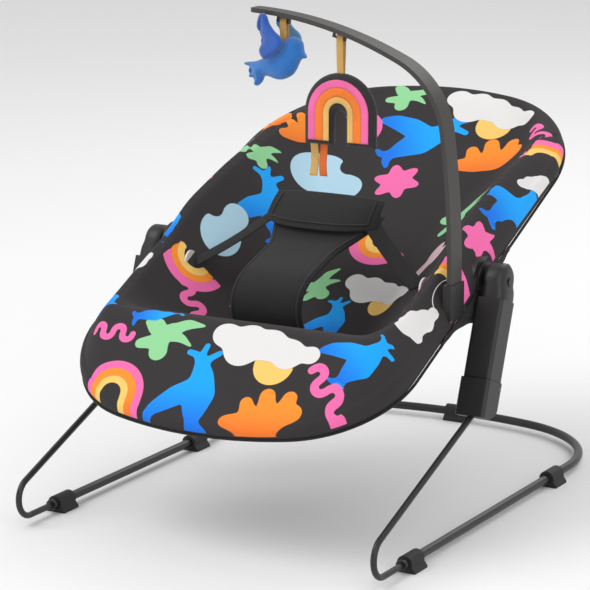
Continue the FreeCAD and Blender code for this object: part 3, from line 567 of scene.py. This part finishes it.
def printed_cloth():
    """Charcoal jersey with each print colour laid where its distance attribute is below nought."""
    made, tree, shader = material("printed_cloth")
    # Painted shade: this attribute mixes blue and orange towards their darker copies.
    painted_shade = read_attribute(tree, "print_painted_shade")
    current = (0.0242, 0.0200, 0.0216)
    for name, colour in COLOURS.items():
        sharp = tree.nodes.new("ShaderNodeMapRange")
        for key, value in (("From Min", 0.0003), ("From Max", -0.0003), ("To Min", 0.0), ("To Max", 1.0)):
            sharp.inputs[key].default_value = value
        tree.links.new(read_attribute(tree, "print_" + name), sharp.inputs["Value"])
        ink = mixed(tree, painted_shade, colour, SHADED_INKS[name]) if name in SHADED_INKS else colour
        current = mixed(tree, sharp.outputs["Result"], current, ink)
    tree.links.new(current, shader.inputs["Base Color"])
    shader.inputs["Roughness"].default_value = 0.85
    weave_bump(tree, shader, 420, 0.25)
    return made


def cloth(name, colour, sheen=0.1, scale=380, strength=0.5, rough=0.85, spread=0.12):
    made, tree, shader = material(name)
    varied(tree, shader, colour, spread, 30)
    shader.inputs["Roughness"].default_value = rough
    shader.inputs["Sheen Weight"].default_value = sheen
    weave_bump(tree, shader, scale, strength)
    return made


def plastic(name, colour, rough=0.42, grain=900, strength=0.10, spread=0.10):
    """Moulded plastic with a fine spark-eroded grain."""
    made, tree, shader = material(name)
    varied(tree, shader, colour, spread, 14)
    shader.inputs["Roughness"].default_value = rough
    place = tree.nodes.new("ShaderNodeTexCoord")
    noise = add(tree, "ShaderNodeTexNoise", Scale=grain, Detail=2.0)
    tree.links.new(place.outputs["Object"], noise.inputs["Vector"])
    bump = add(tree, "ShaderNodeBump", Strength=strength, Distance=0.0002)
    tree.links.new(noise.outputs["Fac"], bump.inputs["Height"])
    tree.links.new(bump.outputs["Normal"], shader.inputs["Normal"])
    return made


print_mat = printed_cloth()
harness_mat = cloth("black_canvas", (0.0075, 0.0070, 0.0070), sheen=0.05, scale=300, strength=0.6)
webbing_mat = cloth("black_webbing", (0.0070, 0.0066, 0.0066), sheen=0.05, scale=520, strength=0.8)
piping_mat = cloth("black_piping", (0.016, 0.015, 0.015), scale=500)
plush_mat = cloth("blue_plush", (0.010, 0.170, 0.560), sheen=0.5, scale=260, strength=0.9, rough=0.95, spread=0.18)
wing_mat = cloth("dark_blue_plush", (0.010, 0.090, 0.420), sheen=0.5, scale=260, strength=0.9, rough=0.95, spread=0.18)
tip_mat = cloth("pale_blue_plush", (0.16, 0.42, 0.68), sheen=0.5, scale=260, strength=0.9, rough=0.95)
ribbon_mat = cloth("yellow_ribbon", (0.60, 0.35, 0.09), scale=600, strength=0.4, rough=0.6)
orange_ribbon_mat = cloth("orange_ribbon", (0.66, 0.13, 0.012), scale=600, strength=0.4, rough=0.6)
charcoal_felt = cloth("charcoal_felt", (0.020, 0.016, 0.018), sheen=0.2, scale=240, strength=0.8)
paint_mat = plastic("black_paint", (0.0130, 0.0125, 0.0120), rough=0.36, grain=1400, strength=0.05)
plastic_mat = plastic("black_plastic", (0.0120, 0.0118, 0.0115), rough=0.44)
bar_mat = plastic("bar_plastic", (0.040, 0.037, 0.034), rough=0.50, grain=1200)
rubber_mat = plastic("black_rubber", (0.0105, 0.0105, 0.0105), rough=0.62, grain=500, strength=0.2)
steel_mat = plastic("plain_steel", (0.34, 0.34, 0.35), rough=0.30, grain=2000, strength=0.04)
steel_mat.node_tree.nodes["Principled BSDF"].inputs["Metallic"].default_value = 1.0
white_mat = plastic("white_plastic", (0.74, 0.74, 0.72), rough=0.35)


def dress(piece, mat):
    piece.data.materials.clear()
    piece.data.materials.append(mat)
    return piece


# ---------------------------------------------------------------- seat pieces

cover = dress(seat_cover(), print_mat)
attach(cover, "seat")
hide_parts("seat_fabric")


ring = loop_outline(420, wrap - 0.0006)
seat_piping = dress(tube("seat_edge_piping", to_model(ring[:, 0], ring[:, 1], np.full(len(ring), -0.0052)), 0.0016,
                         sides=8, closed=True), harness_mat)
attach(seat_piping, "seat")


def strip_line(points, step, spread):
    """Even points along a given line in the seat's side view, softened so that no corner stays."""
    points = np.array(points, float)
    run = np.concatenate([[0], np.cumsum(np.hypot(*np.diff(points, axis=0).T))])
    at = np.arange(0, run[-1] + step / 2, step)
    line = np.stack([np.interp(at, run, points[:, 0]), np.interp(at, run, points[:, 1])], 1)
    reach = int(spread / step) * 3
    kernel = np.exp(-(np.arange(-reach, reach + 1) * step / spread) ** 2 / 2)
    kernel /= kernel.sum()
    padded = np.concatenate([line[0] + (line[0] - line[reach:0:-1]), line, line[-1] + (line[-1] - line[-2:-reach - 2:-1])])
    return np.stack([np.convolve(padded[:, k], kernel, "valid") for k in range(2)], 1)


def pillow_strip(name, line, half, thick, lift=0.0, across=25, corner=6):
    """Padded strip along a line: a closed section of |x/half|^p + |n/thick|^2 = 1 carried along it, closed at its ends.

    line is (along, above) points of the middle, half its half width there and thick its half thickness."""
    count = len(line)
    half = np.broadcast_to(half, (count,))
    ahead = np.gradient(line, axis=0)
    ahead /= np.linalg.norm(ahead, axis=1)[:, None]
    up = np.stack([-ahead[:, 1], ahead[:, 0]], 1)
    turn = np.linspace(0, 2 * math.pi, 2 * across, endpoint=False)
    flat = np.sign(np.cos(turn)) * np.abs(np.cos(turn)) ** (2 / corner)
    swell = np.sign(np.sin(turn)) * np.abs(np.sin(turn)) ** 0.8
    place = np.linspace(0, 1, count)
    shut = np.clip(np.minimum(place, 1 - place) * count / 5, 0, 1) ** 0.5
    x = half[:, None] * flat[None] * (0.97 + 0.03 * shut[:, None])
    rise = thick * swell[None] * shut[:, None] + lift
    s = line[:, :1] + up[:, :1] * rise
    n = line[:, 1:] + up[:, 1:] * rise
    points = to_model(x, s, n)
    return tidy(mesh_piece(name, points, grid_faces(count, len(turn), wrap_columns=True)), 1e-4), x, s, n


pad_line = strip_line([(0.1755, -0.0225), (0.1700, 0.012), (0.1715, 0.028), (0.184, 0.0435), (0.208, 0.0485),
                       (0.286, 0.0385), (0.352, 0.0370)], 0.003, 0.007)
along_pad = np.linspace(0, 1, len(pad_line))
pad_half = 0.046 - 0.002 * np.sin(along_pad * math.pi) + 0.020 * smoothstep(0.62, 0.95, along_pad)
crotch, *_ = pillow_strip("crotch_cover", pad_line, pad_half, 0.0050)
dress(crotch, harness_mat)
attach(crotch, "seat")
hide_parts("crotch_pad")


def edge_piping(name, line, half, lift, radius, inset=0.004):
    """Two thin rolls sewn along the edges of a strip."""
    ahead = np.gradient(line, axis=0)
    ahead /= np.linalg.norm(ahead, axis=1)[:, None]
    up = np.stack([-ahead[:, 1], ahead[:, 0]], 1)
    made = []
    for side, sign in (("right", 1), ("left", -1)):
        s, n = line[:, 0] + up[:, 0] * lift, line[:, 1] + up[:, 1] * lift
        path = to_model(sign * (half - inset), s, n)
        roll = dress(tube("%s_%s" % (name, side), path, radius, sides=8), piping_mat)
        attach(roll, "seat")
        made.append(roll)
    return made


edge_piping("crotch_piping", pad_line[3:-2], pad_half[3:-2], 0.0036, 0.0013)


def flap():
    """Visor over the buckle: a padded tongue, straight behind and bowed in front, whose rim and corners droop.

    Gives the piece and the line along which its piping is sewn."""
    rows, columns = 30, 61
    u = np.linspace(-1, 1, columns)[None]
    v = np.linspace(0, 1, rows)[:, None]
    rear, half = 0.3515, 0.0715
    depth = 0.056 * (1 - 0.40 * np.abs(u) ** 3.0)
    x = half * u * (0.96 + 0.04 * v) + 0 * v
    s = rear - v * depth
    n = 0.0615 - 0.17 * (rear - s) - 0.0015 * v ** 3 - 0.011 * np.abs(u) ** 3 * (0.35 + 0.65 * v) + 0.0018 * np.sin(math.pi * v)
    thick = 0.0045 * np.sqrt(np.clip((1 - np.abs(u)) * 14, 0, 1)) * np.sqrt(np.clip(np.minimum(v, 1 - v) * 12, 0, 1))
    points = np.concatenate([to_model(x, s, n), to_model(x, s, n - thick)])
    faces = grid_faces(rows, columns)
    made = tidy(mesh_piece("flap_cover", points, np.concatenate([faces, faces[:, ::-1] + rows * columns])), 5e-5)
    row, side = 25, 56
    lift = 0.0006
    ends = [np.stack([x[4:row, k], s[4:row, k], n[4:row, k] + lift], 1) for k in (columns - 1 - side, side)]
    front = np.stack([x[row], s[row], n[row] + lift], 1)[columns - 1 - side:side + 1]
    return made, np.concatenate([ends[0], front, ends[1][::-1]])


flap_cover, flap_seam = flap()
flap_roll = dress(tube("flap_piping", to_model(*flap_seam.T), 0.0011, sides=8), piping_mat)
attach(flap_roll, "flap")
dress(flap_cover, harness_mat)
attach(flap_cover, "flap")
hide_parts("buckle_flap")


def strap_piece(side):
    """Flat webbing from the buckle's tongue to its eyelet: runs between two given ends with a slight sag."""
    sign = 1 if side == "right" else -1
    start = to_model(sign * 0.0562, 0.327, 0.0500)[0]
    end = to_model(sign * 0.1415, 0.262, 0.0120)[0]
    t = np.linspace(0, 1, 40)[:, None]
    path = start + (end - start) * t
    path[:, 2] += -0.0030 * np.sin(math.pi * t[:, 0])
    run = (end - start) / np.linalg.norm(end - start)
    wide = np.cross(run, [0, -0.35, 1])
    wide /= np.linalg.norm(wide)
    out = np.cross(run, wide)
    out *= np.sign(out[2])
    u = np.linspace(-1, 1, 13)
    rim = 0.0005 * np.cos(u * math.pi / 2)
    top = path[:, None] + u[None, :, None] * wide * 0.0100 + (0.0004 + rim)[None, :, None] * out
    low = path[:, None] + u[None, :, None] * wide * 0.0100 - (0.0004 + rim * 0)[None, :, None] * out
    points = np.concatenate([top.reshape(-1, 3), low.reshape(-1, 3)])
    count = 40 * 13
    faces = grid_faces(40, 13)
    rims = []
    for j in (0, 12):
        k = np.arange(39) * 13 + j
        rims.append(np.stack([k, k + 13, k + 13 + count, k + count], 1))
    for i in (0, 39):
        k = i * 13 + np.arange(12)
        rims.append(np.stack([k, k + 1, k + 1 + count, k + count], 1))
    made = mesh_piece("strap_" + side, points, np.concatenate([faces, faces[:, ::-1] + count] + rims))
    dress(tidy(made), webbing_mat)
    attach(made, "seat")
    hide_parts("waist_strap_" + side)
    return made


for side in ("right", "left"):
    strap_piece(side)


def hub_skirt(side):
    """Cloth that hangs over the seat's hub from the cover's edge, deepest before the hub, with folds along it."""
    sign = 1 if side == "right" else -1
    s = np.linspace(0.188, 0.372, 93)[:, None]
    down = np.linspace(0, 1, 22)[None]
    drop = 0.0035 + 0.0300 * np.exp(-((s - 0.292) / 0.046) ** 2) * (1 + 0.05 * np.sin(s * 190))
    n = -0.0015 - (0.0040 + drop) * down
    away = np.hypot(s - hub_along, n)
    folds = 0.0006 * np.sin(s * 260 + n * 330) * np.sin(math.pi * down)
    x = 0.1992 + 0.0020 * (1 - np.exp(-(away / 0.026) ** 4)) + folds - 0.0030 * down ** 4
    made = mesh_piece("hub_skirt_" + side, to_model(sign * x, s + 0 * n, n), grid_faces(93, 22))
    wall = made.modifiers.new("wall", "SOLIDIFY")
    wall.thickness, wall.offset = 0.0012, 0
    dress(made, harness_mat)
    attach(made, "seat")


def post_shoulder(side):
    """Rounded neck over the top of the post: ovals run up the post's own axis and close in a half round at the hub."""
    sign = 1 if side == "right" else -1
    rise = np.concatenate([np.linspace(-0.004, 0.021, 14), 0.021 + 0.0201 * np.sin(np.linspace(0.08, math.pi / 2 - 0.02, 16))])
    past = np.clip((rise - 0.021) / 0.0203, 0, 1)
    wide = 0.0198 * np.sqrt(1 - past ** 2)
    deep = 0.0148 - 0.0012 * smoothstep(0.002, 0.018, rise) - 0.0050 * past ** 3
    middle = 0.2200 - 0.0020 * smoothstep(0.010, 0.021, rise)
    turn = np.linspace(0, 2 * math.pi, 48, endpoint=False)
    over, across = (np.sign(f(turn)) * np.abs(f(turn)) ** 0.62 for f in (np.cos, np.sin))
    y = -0.0408 + 0.3502 * rise[:, None] + 0.9367 * wide[:, None] * over
    z = 0.2498 + 0.9367 * rise[:, None] - 0.3502 * wide[:, None] * over
    x = sign * (middle[:, None] + deep[:, None] * across)
    faces = [list(map(int, f)) for f in grid_faces(len(rise), 48, wrap_columns=True)]
    faces += [list(range(48)), [(len(rise) - 1) * 48 + k for k in range(48)]]
    made = bpy.data.objects.new("post_shoulder_" + side, bpy.data.meshes.new("post_shoulder_" + side))
    made.data.from_pydata(np.stack([x, y, z], -1).reshape(-1, 3).tolist(), [], faces)
    bpy.context.collection.objects.link(made)
    dress(tidy(made), plastic_mat)
    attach(made, "posts")


for side in ("right", "left"):
    hub_skirt(side)
    post_shoulder(side)

slit_turn = np.linspace(0, 2 * math.pi, 90, endpoint=False)
slit_x, slit_s = 0.1915 + 0.0090 * np.cos(slit_turn), 0.2346 + 0.0262 * np.sin(slit_turn)
slit = dress(tube("socket_slit_piping", to_model(slit_x, slit_s, sample(top_map, slit_x, slit_s)), 0.0006,
                  sides=8, closed=True), white_mat)
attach(slit, "seat")

# ---------------------------------------------------------------- toys

hook_x = {}
for label in ("bird_ribbon", "rainbow_ribbon"):
    low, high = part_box(label)
    hook_x[label] = ((low.x + high.x) / 2, low.z, high.z)


def ribbon_loop(label, body_name, mat):
    """Folded ribbon through its hook: two layers side by side, with a small bow at the fold."""
    x, foot, top = hook_x[label]
    t = np.linspace(0, 1, 24)
    z = foot - 0.003 + (top - foot + 0.003) * t
    gap = 0.0032 * np.sqrt(np.clip(t, 0, 1)) * np.sqrt(np.clip((1.02 - t) * 6, 0, 1)) + 0.0006
    path_y = np.concatenate([bar_y - gap, (bar_y + gap)[::-1]])
    path_z = np.concatenate([z, z[::-1]])
    width = np.linspace(-1, 1, 7) * 0.0040
    points = np.stack(np.broadcast_arrays(x + width[None], path_y[:, None], path_z[:, None]), -1).reshape(-1, 3)
    piece = mesh_piece(label + "_cloth", points, grid_faces(48, 7))
    wall = piece.modifiers.new("wall", "SOLIDIFY")
    wall.thickness, wall.offset = 0.0007, 0
    dress(piece, mat)
    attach(piece, body_name)
    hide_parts(label)
    return piece


ribbon_loop("bird_ribbon", "bird", ribbon_mat)
ribbon_loop("rainbow_ribbon", "rainbow", ribbon_mat)


def stuffed(name, outline_points, thick, centre):
    """Stuffed cushion of a flat outline in the XZ plane: both faces swell with the distance from the seam."""
    work = bmesh.new()
    ring = [work.verts.new((p[0], 0, p[1])) for p in outline_points]
    face = work.faces.new(ring)
    bmesh.ops.triangulate(work, faces=[face])
    data = bpy.data.meshes.new(name)
    work.to_mesh(data)
    work.free()
    piece = bpy.data.objects.new(name, data)
    bpy.context.collection.objects.link(piece)
    wall = piece.modifiers.new("wall", "SOLIDIFY")
    wall.thickness, wall.offset = 0.003, 0
    bpy.context.view_layer.update()
    thickened = bpy.data.meshes.new_from_object(piece.evaluated_get(bpy.context.evaluated_depsgraph_get()))
    piece.modifiers.clear()
    piece.data = thickened
    grid = piece.modifiers.new("grid", "REMESH")
    grid.mode, grid.voxel_size = "VOXEL", 0.0011
    bpy.context.view_layer.update()
    fine = bpy.data.meshes.new_from_object(piece.evaluated_get(bpy.context.evaluated_depsgraph_get()))
    piece.modifiers.clear()
    piece.data = fine
    co = np.empty(len(fine.vertices) * 3)
    fine.vertices.foreach_get("co", co)
    co = co.reshape(-1, 3)
    edge = np.asarray(outline_points, float)
    nxt = np.roll(edge, -1, 0)
    d = np.full(len(co), 1e9)
    for a, b in zip(edge, nxt):
        ab = b - a
        t = np.clip(((co[:, [0, 2]] - a) @ ab) / max(ab @ ab, 1e-12), 0, 1)
        d = np.minimum(d, np.linalg.norm(co[:, [0, 2]] - a - t[:, None] * ab, axis=1))
    reach = thick / 2
    grow = np.sqrt(np.clip(1 - (1 - np.clip(d / (reach * 1.25), 0, 1)) ** 2, 0, 1))
    co[:, 1] = np.sign(co[:, 1]) * np.clip(np.abs(co[:, 1]) / 0.0015, 0, 1) * (0.0008 + (reach - 0.0008) * grow)
    co += np.array(centre)
    fine.vertices.foreach_set("co", co.ravel())
    fine.update()
    soft = piece.modifiers.new("soft", "SMOOTH")
    soft.iterations, soft.factor = 6, 0.5
    bpy.context.view_layer.update()
    done = bpy.data.meshes.new_from_object(piece.evaluated_get(bpy.context.evaluated_depsgraph_get()))
    piece.modifiers.clear()
    piece.data = done
    piece.data.polygons.foreach_set("use_smooth", np.full(len(done.polygons), True))
    return piece


def spline(points, count=160):
    """Closed smooth outline through points: a periodic Catmull-Rom curve."""
    p = np.array(points, float)
    t = np.linspace(0, len(p), count, endpoint=False)
    i = t.astype(int)
    f = (t - i)[:, None]
    a, b, c, d = (p[(i + k) % len(p)] for k in (-1, 0, 1, 2))
    return 0.5 * (2 * b + (c - a) * f + (2 * a - 5 * b + 4 * c - d) * f ** 2 + (3 * b - a - 3 * c + d) * f ** 3)


bird_x = hook_x["bird_ribbon"][0]
BIRD_BODY = [(-0.0385, -0.0035), (-0.0260, -0.0015), (-0.0125, 0.0055), (0.0050, 0.0205), (0.0150, 0.0250), (0.0245, 0.0205),
             (0.0265, 0.0110), (0.0300, 0.0050), (0.0235, 0.0025), (0.0150, -0.0120), (0.0015, -0.0183), (-0.0120, -0.0158),
             (-0.0175, -0.0165), (-0.0205, -0.0225), (-0.0255, -0.0265), (-0.0280, -0.0230), (-0.0260, -0.0175),
             (-0.0325, -0.0185), (-0.0340, -0.0155), (-0.0300, -0.0125), (-0.0310, -0.0080), (-0.0385, -0.0060)]
WING = [(-0.0205, 0.0500), (-0.0160, 0.0518), (-0.0122, 0.0490), (-0.0095, 0.0420), (-0.0040, 0.0350), (0.0027, 0.0298),
        (0.0050, 0.0230), (0.0010, 0.0170), (-0.0070, 0.0105), (-0.0136, 0.0060), (-0.0190, 0.0100), (-0.0208, 0.0155),
        (-0.0184, 0.0210), (-0.0156, 0.0250), (-0.0176, 0.0305), (-0.0224, 0.0360), (-0.0233, 0.0407)]
bird_size = 1.12
bird_middle = (bird_x - 0.006, bar_y, 0.5045)
bird_body = dress(stuffed("bird_body", spline(BIRD_BODY, 200) * bird_size, 0.026, bird_middle), plush_mat)
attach(bird_body, "bird")
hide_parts("bird_toy")
for side, shift, mat in (("near", -0.0175, wing_mat), ("far", 0.0175, tip_mat)):
    move = 0.0075 if side == "near" else 0.0120
    wing = stuffed("bird_wing_" + side, spline(WING, 120) * bird_size, 0.0080,
                   (bird_middle[0] + move, bar_y + shift, bird_middle[2] - 0.004))
    dress(wing, mat)
    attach(wing, "bird")

rainbow_x = hook_x["rainbow_ribbon"][0]
rainbow_low, rainbow_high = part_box("rainbow_toy")


def arch_outline(outer, inner, foot, height, count=40):
    """Upright arch with a round head: outer half circle, straight legs and an inner slit with a round head."""
    a = np.linspace(0, math.pi, count)
    top = height - outer
    out = np.stack([outer * np.cos(a), top + outer * np.sin(a)], 1)
    slit = np.stack([inner * np.cos(a[::-1]), 0.030 + inner * np.sin(a[::-1])], 1)
    return np.concatenate([[(outer, foot)], out, [(-outer, foot), (-inner, foot)], slit, [(inner, foot)]])


toy_height = rainbow_high.z - rainbow_low.z
rainbow_base = (rainbow_x, bar_y, rainbow_low.z)
rainbow = dress(stuffed("rainbow_cushion", arch_outline(0.0438, 0.0078, 0.0, toy_height, 60), 0.0125, rainbow_base), charcoal_felt)
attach(rainbow, "rainbow")
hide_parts("rainbow_toy")


def rainbow_arcs():
    """Printed arch on both faces: one colour per band, from its distance to the slit, on a thin skin."""
    bands = [("pink", 0.0283, 0.0370), ("orange", 0.0182, 0.0284), ("yellow", 0.0115, 0.0183)]
    colours = {"pink": (0.84, 0.14, 0.36), "orange": (0.88, 0.20, 0.020), "yellow": (0.78, 0.47, 0.13)}
    centre_z = toy_height - 0.0438
    for way, face in ((-1, "front"), (1, "rear")):
        for name, inner, outer in bands:
            a = np.linspace(0, math.pi, 60)
            foot = 0.0055
            rim = []
            for radius in np.linspace(inner, outer, 5):
                arc = np.stack([radius * np.cos(a), centre_z + radius * np.sin(a)], 1)
                legs = np.linspace(foot, centre_z, 14)[:-1]
                right = np.stack([np.full(13, radius), legs], 1)
                rim.append(np.concatenate([right, arc, (right * [-1, 1])[::-1]]))
            rim = np.stack(rim)
            swell = 0.00635 + 0.0006
            points = np.stack([rim[..., 0] + rainbow_x, np.full(rim.shape[:2], bar_y + way * swell), rim[..., 1] + rainbow_low.z], -1)
            band = mesh_piece("rainbow_%s_%s" % (name, face), points.reshape(-1, 3), grid_faces(5, rim.shape[1]))
            wall = band.modifiers.new("wall", "SOLIDIFY")
            wall.thickness, wall.offset = 0.0007, 0
            dress(band, cloth("felt_%s_%s" % (name, face), colours[name], scale=240, strength=0.5))
            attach(band, "rainbow")


rainbow_arcs()


def tails():
    """Two short ribbons under the left leg, sewn in together, that spread slightly at their ends."""
    low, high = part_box("rainbow_tails")
    for name, sign, mat in (("yellow", -1, ribbon_mat), ("orange", 1, orange_ribbon_mat)):
        t = np.linspace(0, 1, 20)
        x = (low.x + high.x) / 2 + sign * (0.0049 + 0.0010 * t ** 2)
        y = bar_y + sign * 0.0006 + 0.0014 * np.sin(t * 5 + sign)
        z = high.z + 0.002 + (low.z - high.z - 0.001) * t
        width = np.linspace(-1, 1, 7) * 0.0046
        points = np.stack([x[:, None] + width[None], np.broadcast_to(y[:, None], (20, 7)), np.broadcast_to(z[:, None], (20, 7))], -1)
        piece = mesh_piece("tail_" + name, points.reshape(-1, 3), grid_faces(20, 7))
        wall = piece.modifiers.new("wall", "SOLIDIFY")
        wall.thickness, wall.offset = 0.0008, 0
        dress(piece, mat)
        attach(piece, "rainbow")
        if sign < 0:
            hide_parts("rainbow_tails")


tails()

# ---------------------------------------------------------------- finishes of the hard parts

FINISH = {
    "base_tube": paint_mat, "spring_rod": paint_mat, "seat_tube": paint_mat, "foot": rubber_mat, "crimp_collar": paint_mat,
    "fold_pin": steel_mat, "recline_axle": steel_mat, "inner_post": steel_mat, "strap_eyelet": white_mat, "toy_bar": bar_mat,
}
for label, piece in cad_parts.items():
    if piece.hide_render:
        continue
    starts = [key for key in FINISH if label.startswith(key)]
    mat = FINISH[starts[0]] if starts and label != "toy_bar_socket" else plastic_mat
    dress(piece, mat)

# ---------------------------------------------------------------- room, light and camera

bpy.ops.mesh.primitive_plane_add(size=60, location=(0, 0, 0))
floor = bpy.context.object
floor_mat, floor_tree, floor_shader = material("floor")
floor_shader.inputs["Base Color"].default_value = (0.90, 0.90, 0.90, 1)
floor_shader.inputs["Roughness"].default_value = 0.7
dress(floor, floor_mat)


def area(name, place, target, size, power):
    light = bpy.data.lights.new(name, "AREA")
    light.shape, light.size, light.energy = "DISK", size, power
    lamp = bpy.data.objects.new(name, light)
    lamp.location = place
    lamp.rotation_euler = (Vector(target) - Vector(place)).to_track_quat("-Z", "Y").to_euler()
    bpy.context.collection.objects.link(lamp)


area("key", (-1.6, -1.6, 2.6), (0, 0, 0.2), 2.2, 40)
area("fill", (2.6, -1.8, 1.7), (0, 0, 0.25), 2.4, 22)
area("back", (0.3, 2.4, 2.4), (0, 0, 0.25), 2.0, 22)

world = bpy.data.worlds.new("room")
world.use_nodes = True
world.node_tree.nodes["Background"].inputs[0].default_value = (1, 1, 1, 1)
world.node_tree.nodes["Background"].inputs[1].default_value = 0.72
bpy.context.scene.world = world
bpy.context.scene.view_settings.view_transform = "Standard"

camera = bpy.data.objects.new("camera", bpy.data.cameras.new("camera"))
camera.data.lens = 172.3
camera.data.sensor_width = 36
camera.location = (1.50053, -2.77090, 0.93748)
camera.rotation_euler = Vector((-0.47762, 0.85029, -0.22110)).to_track_quat("-Z", "Y").to_euler()
camera.data.clip_end = 200
bpy.context.collection.objects.link(camera)
bpy.context.scene.camera = camera
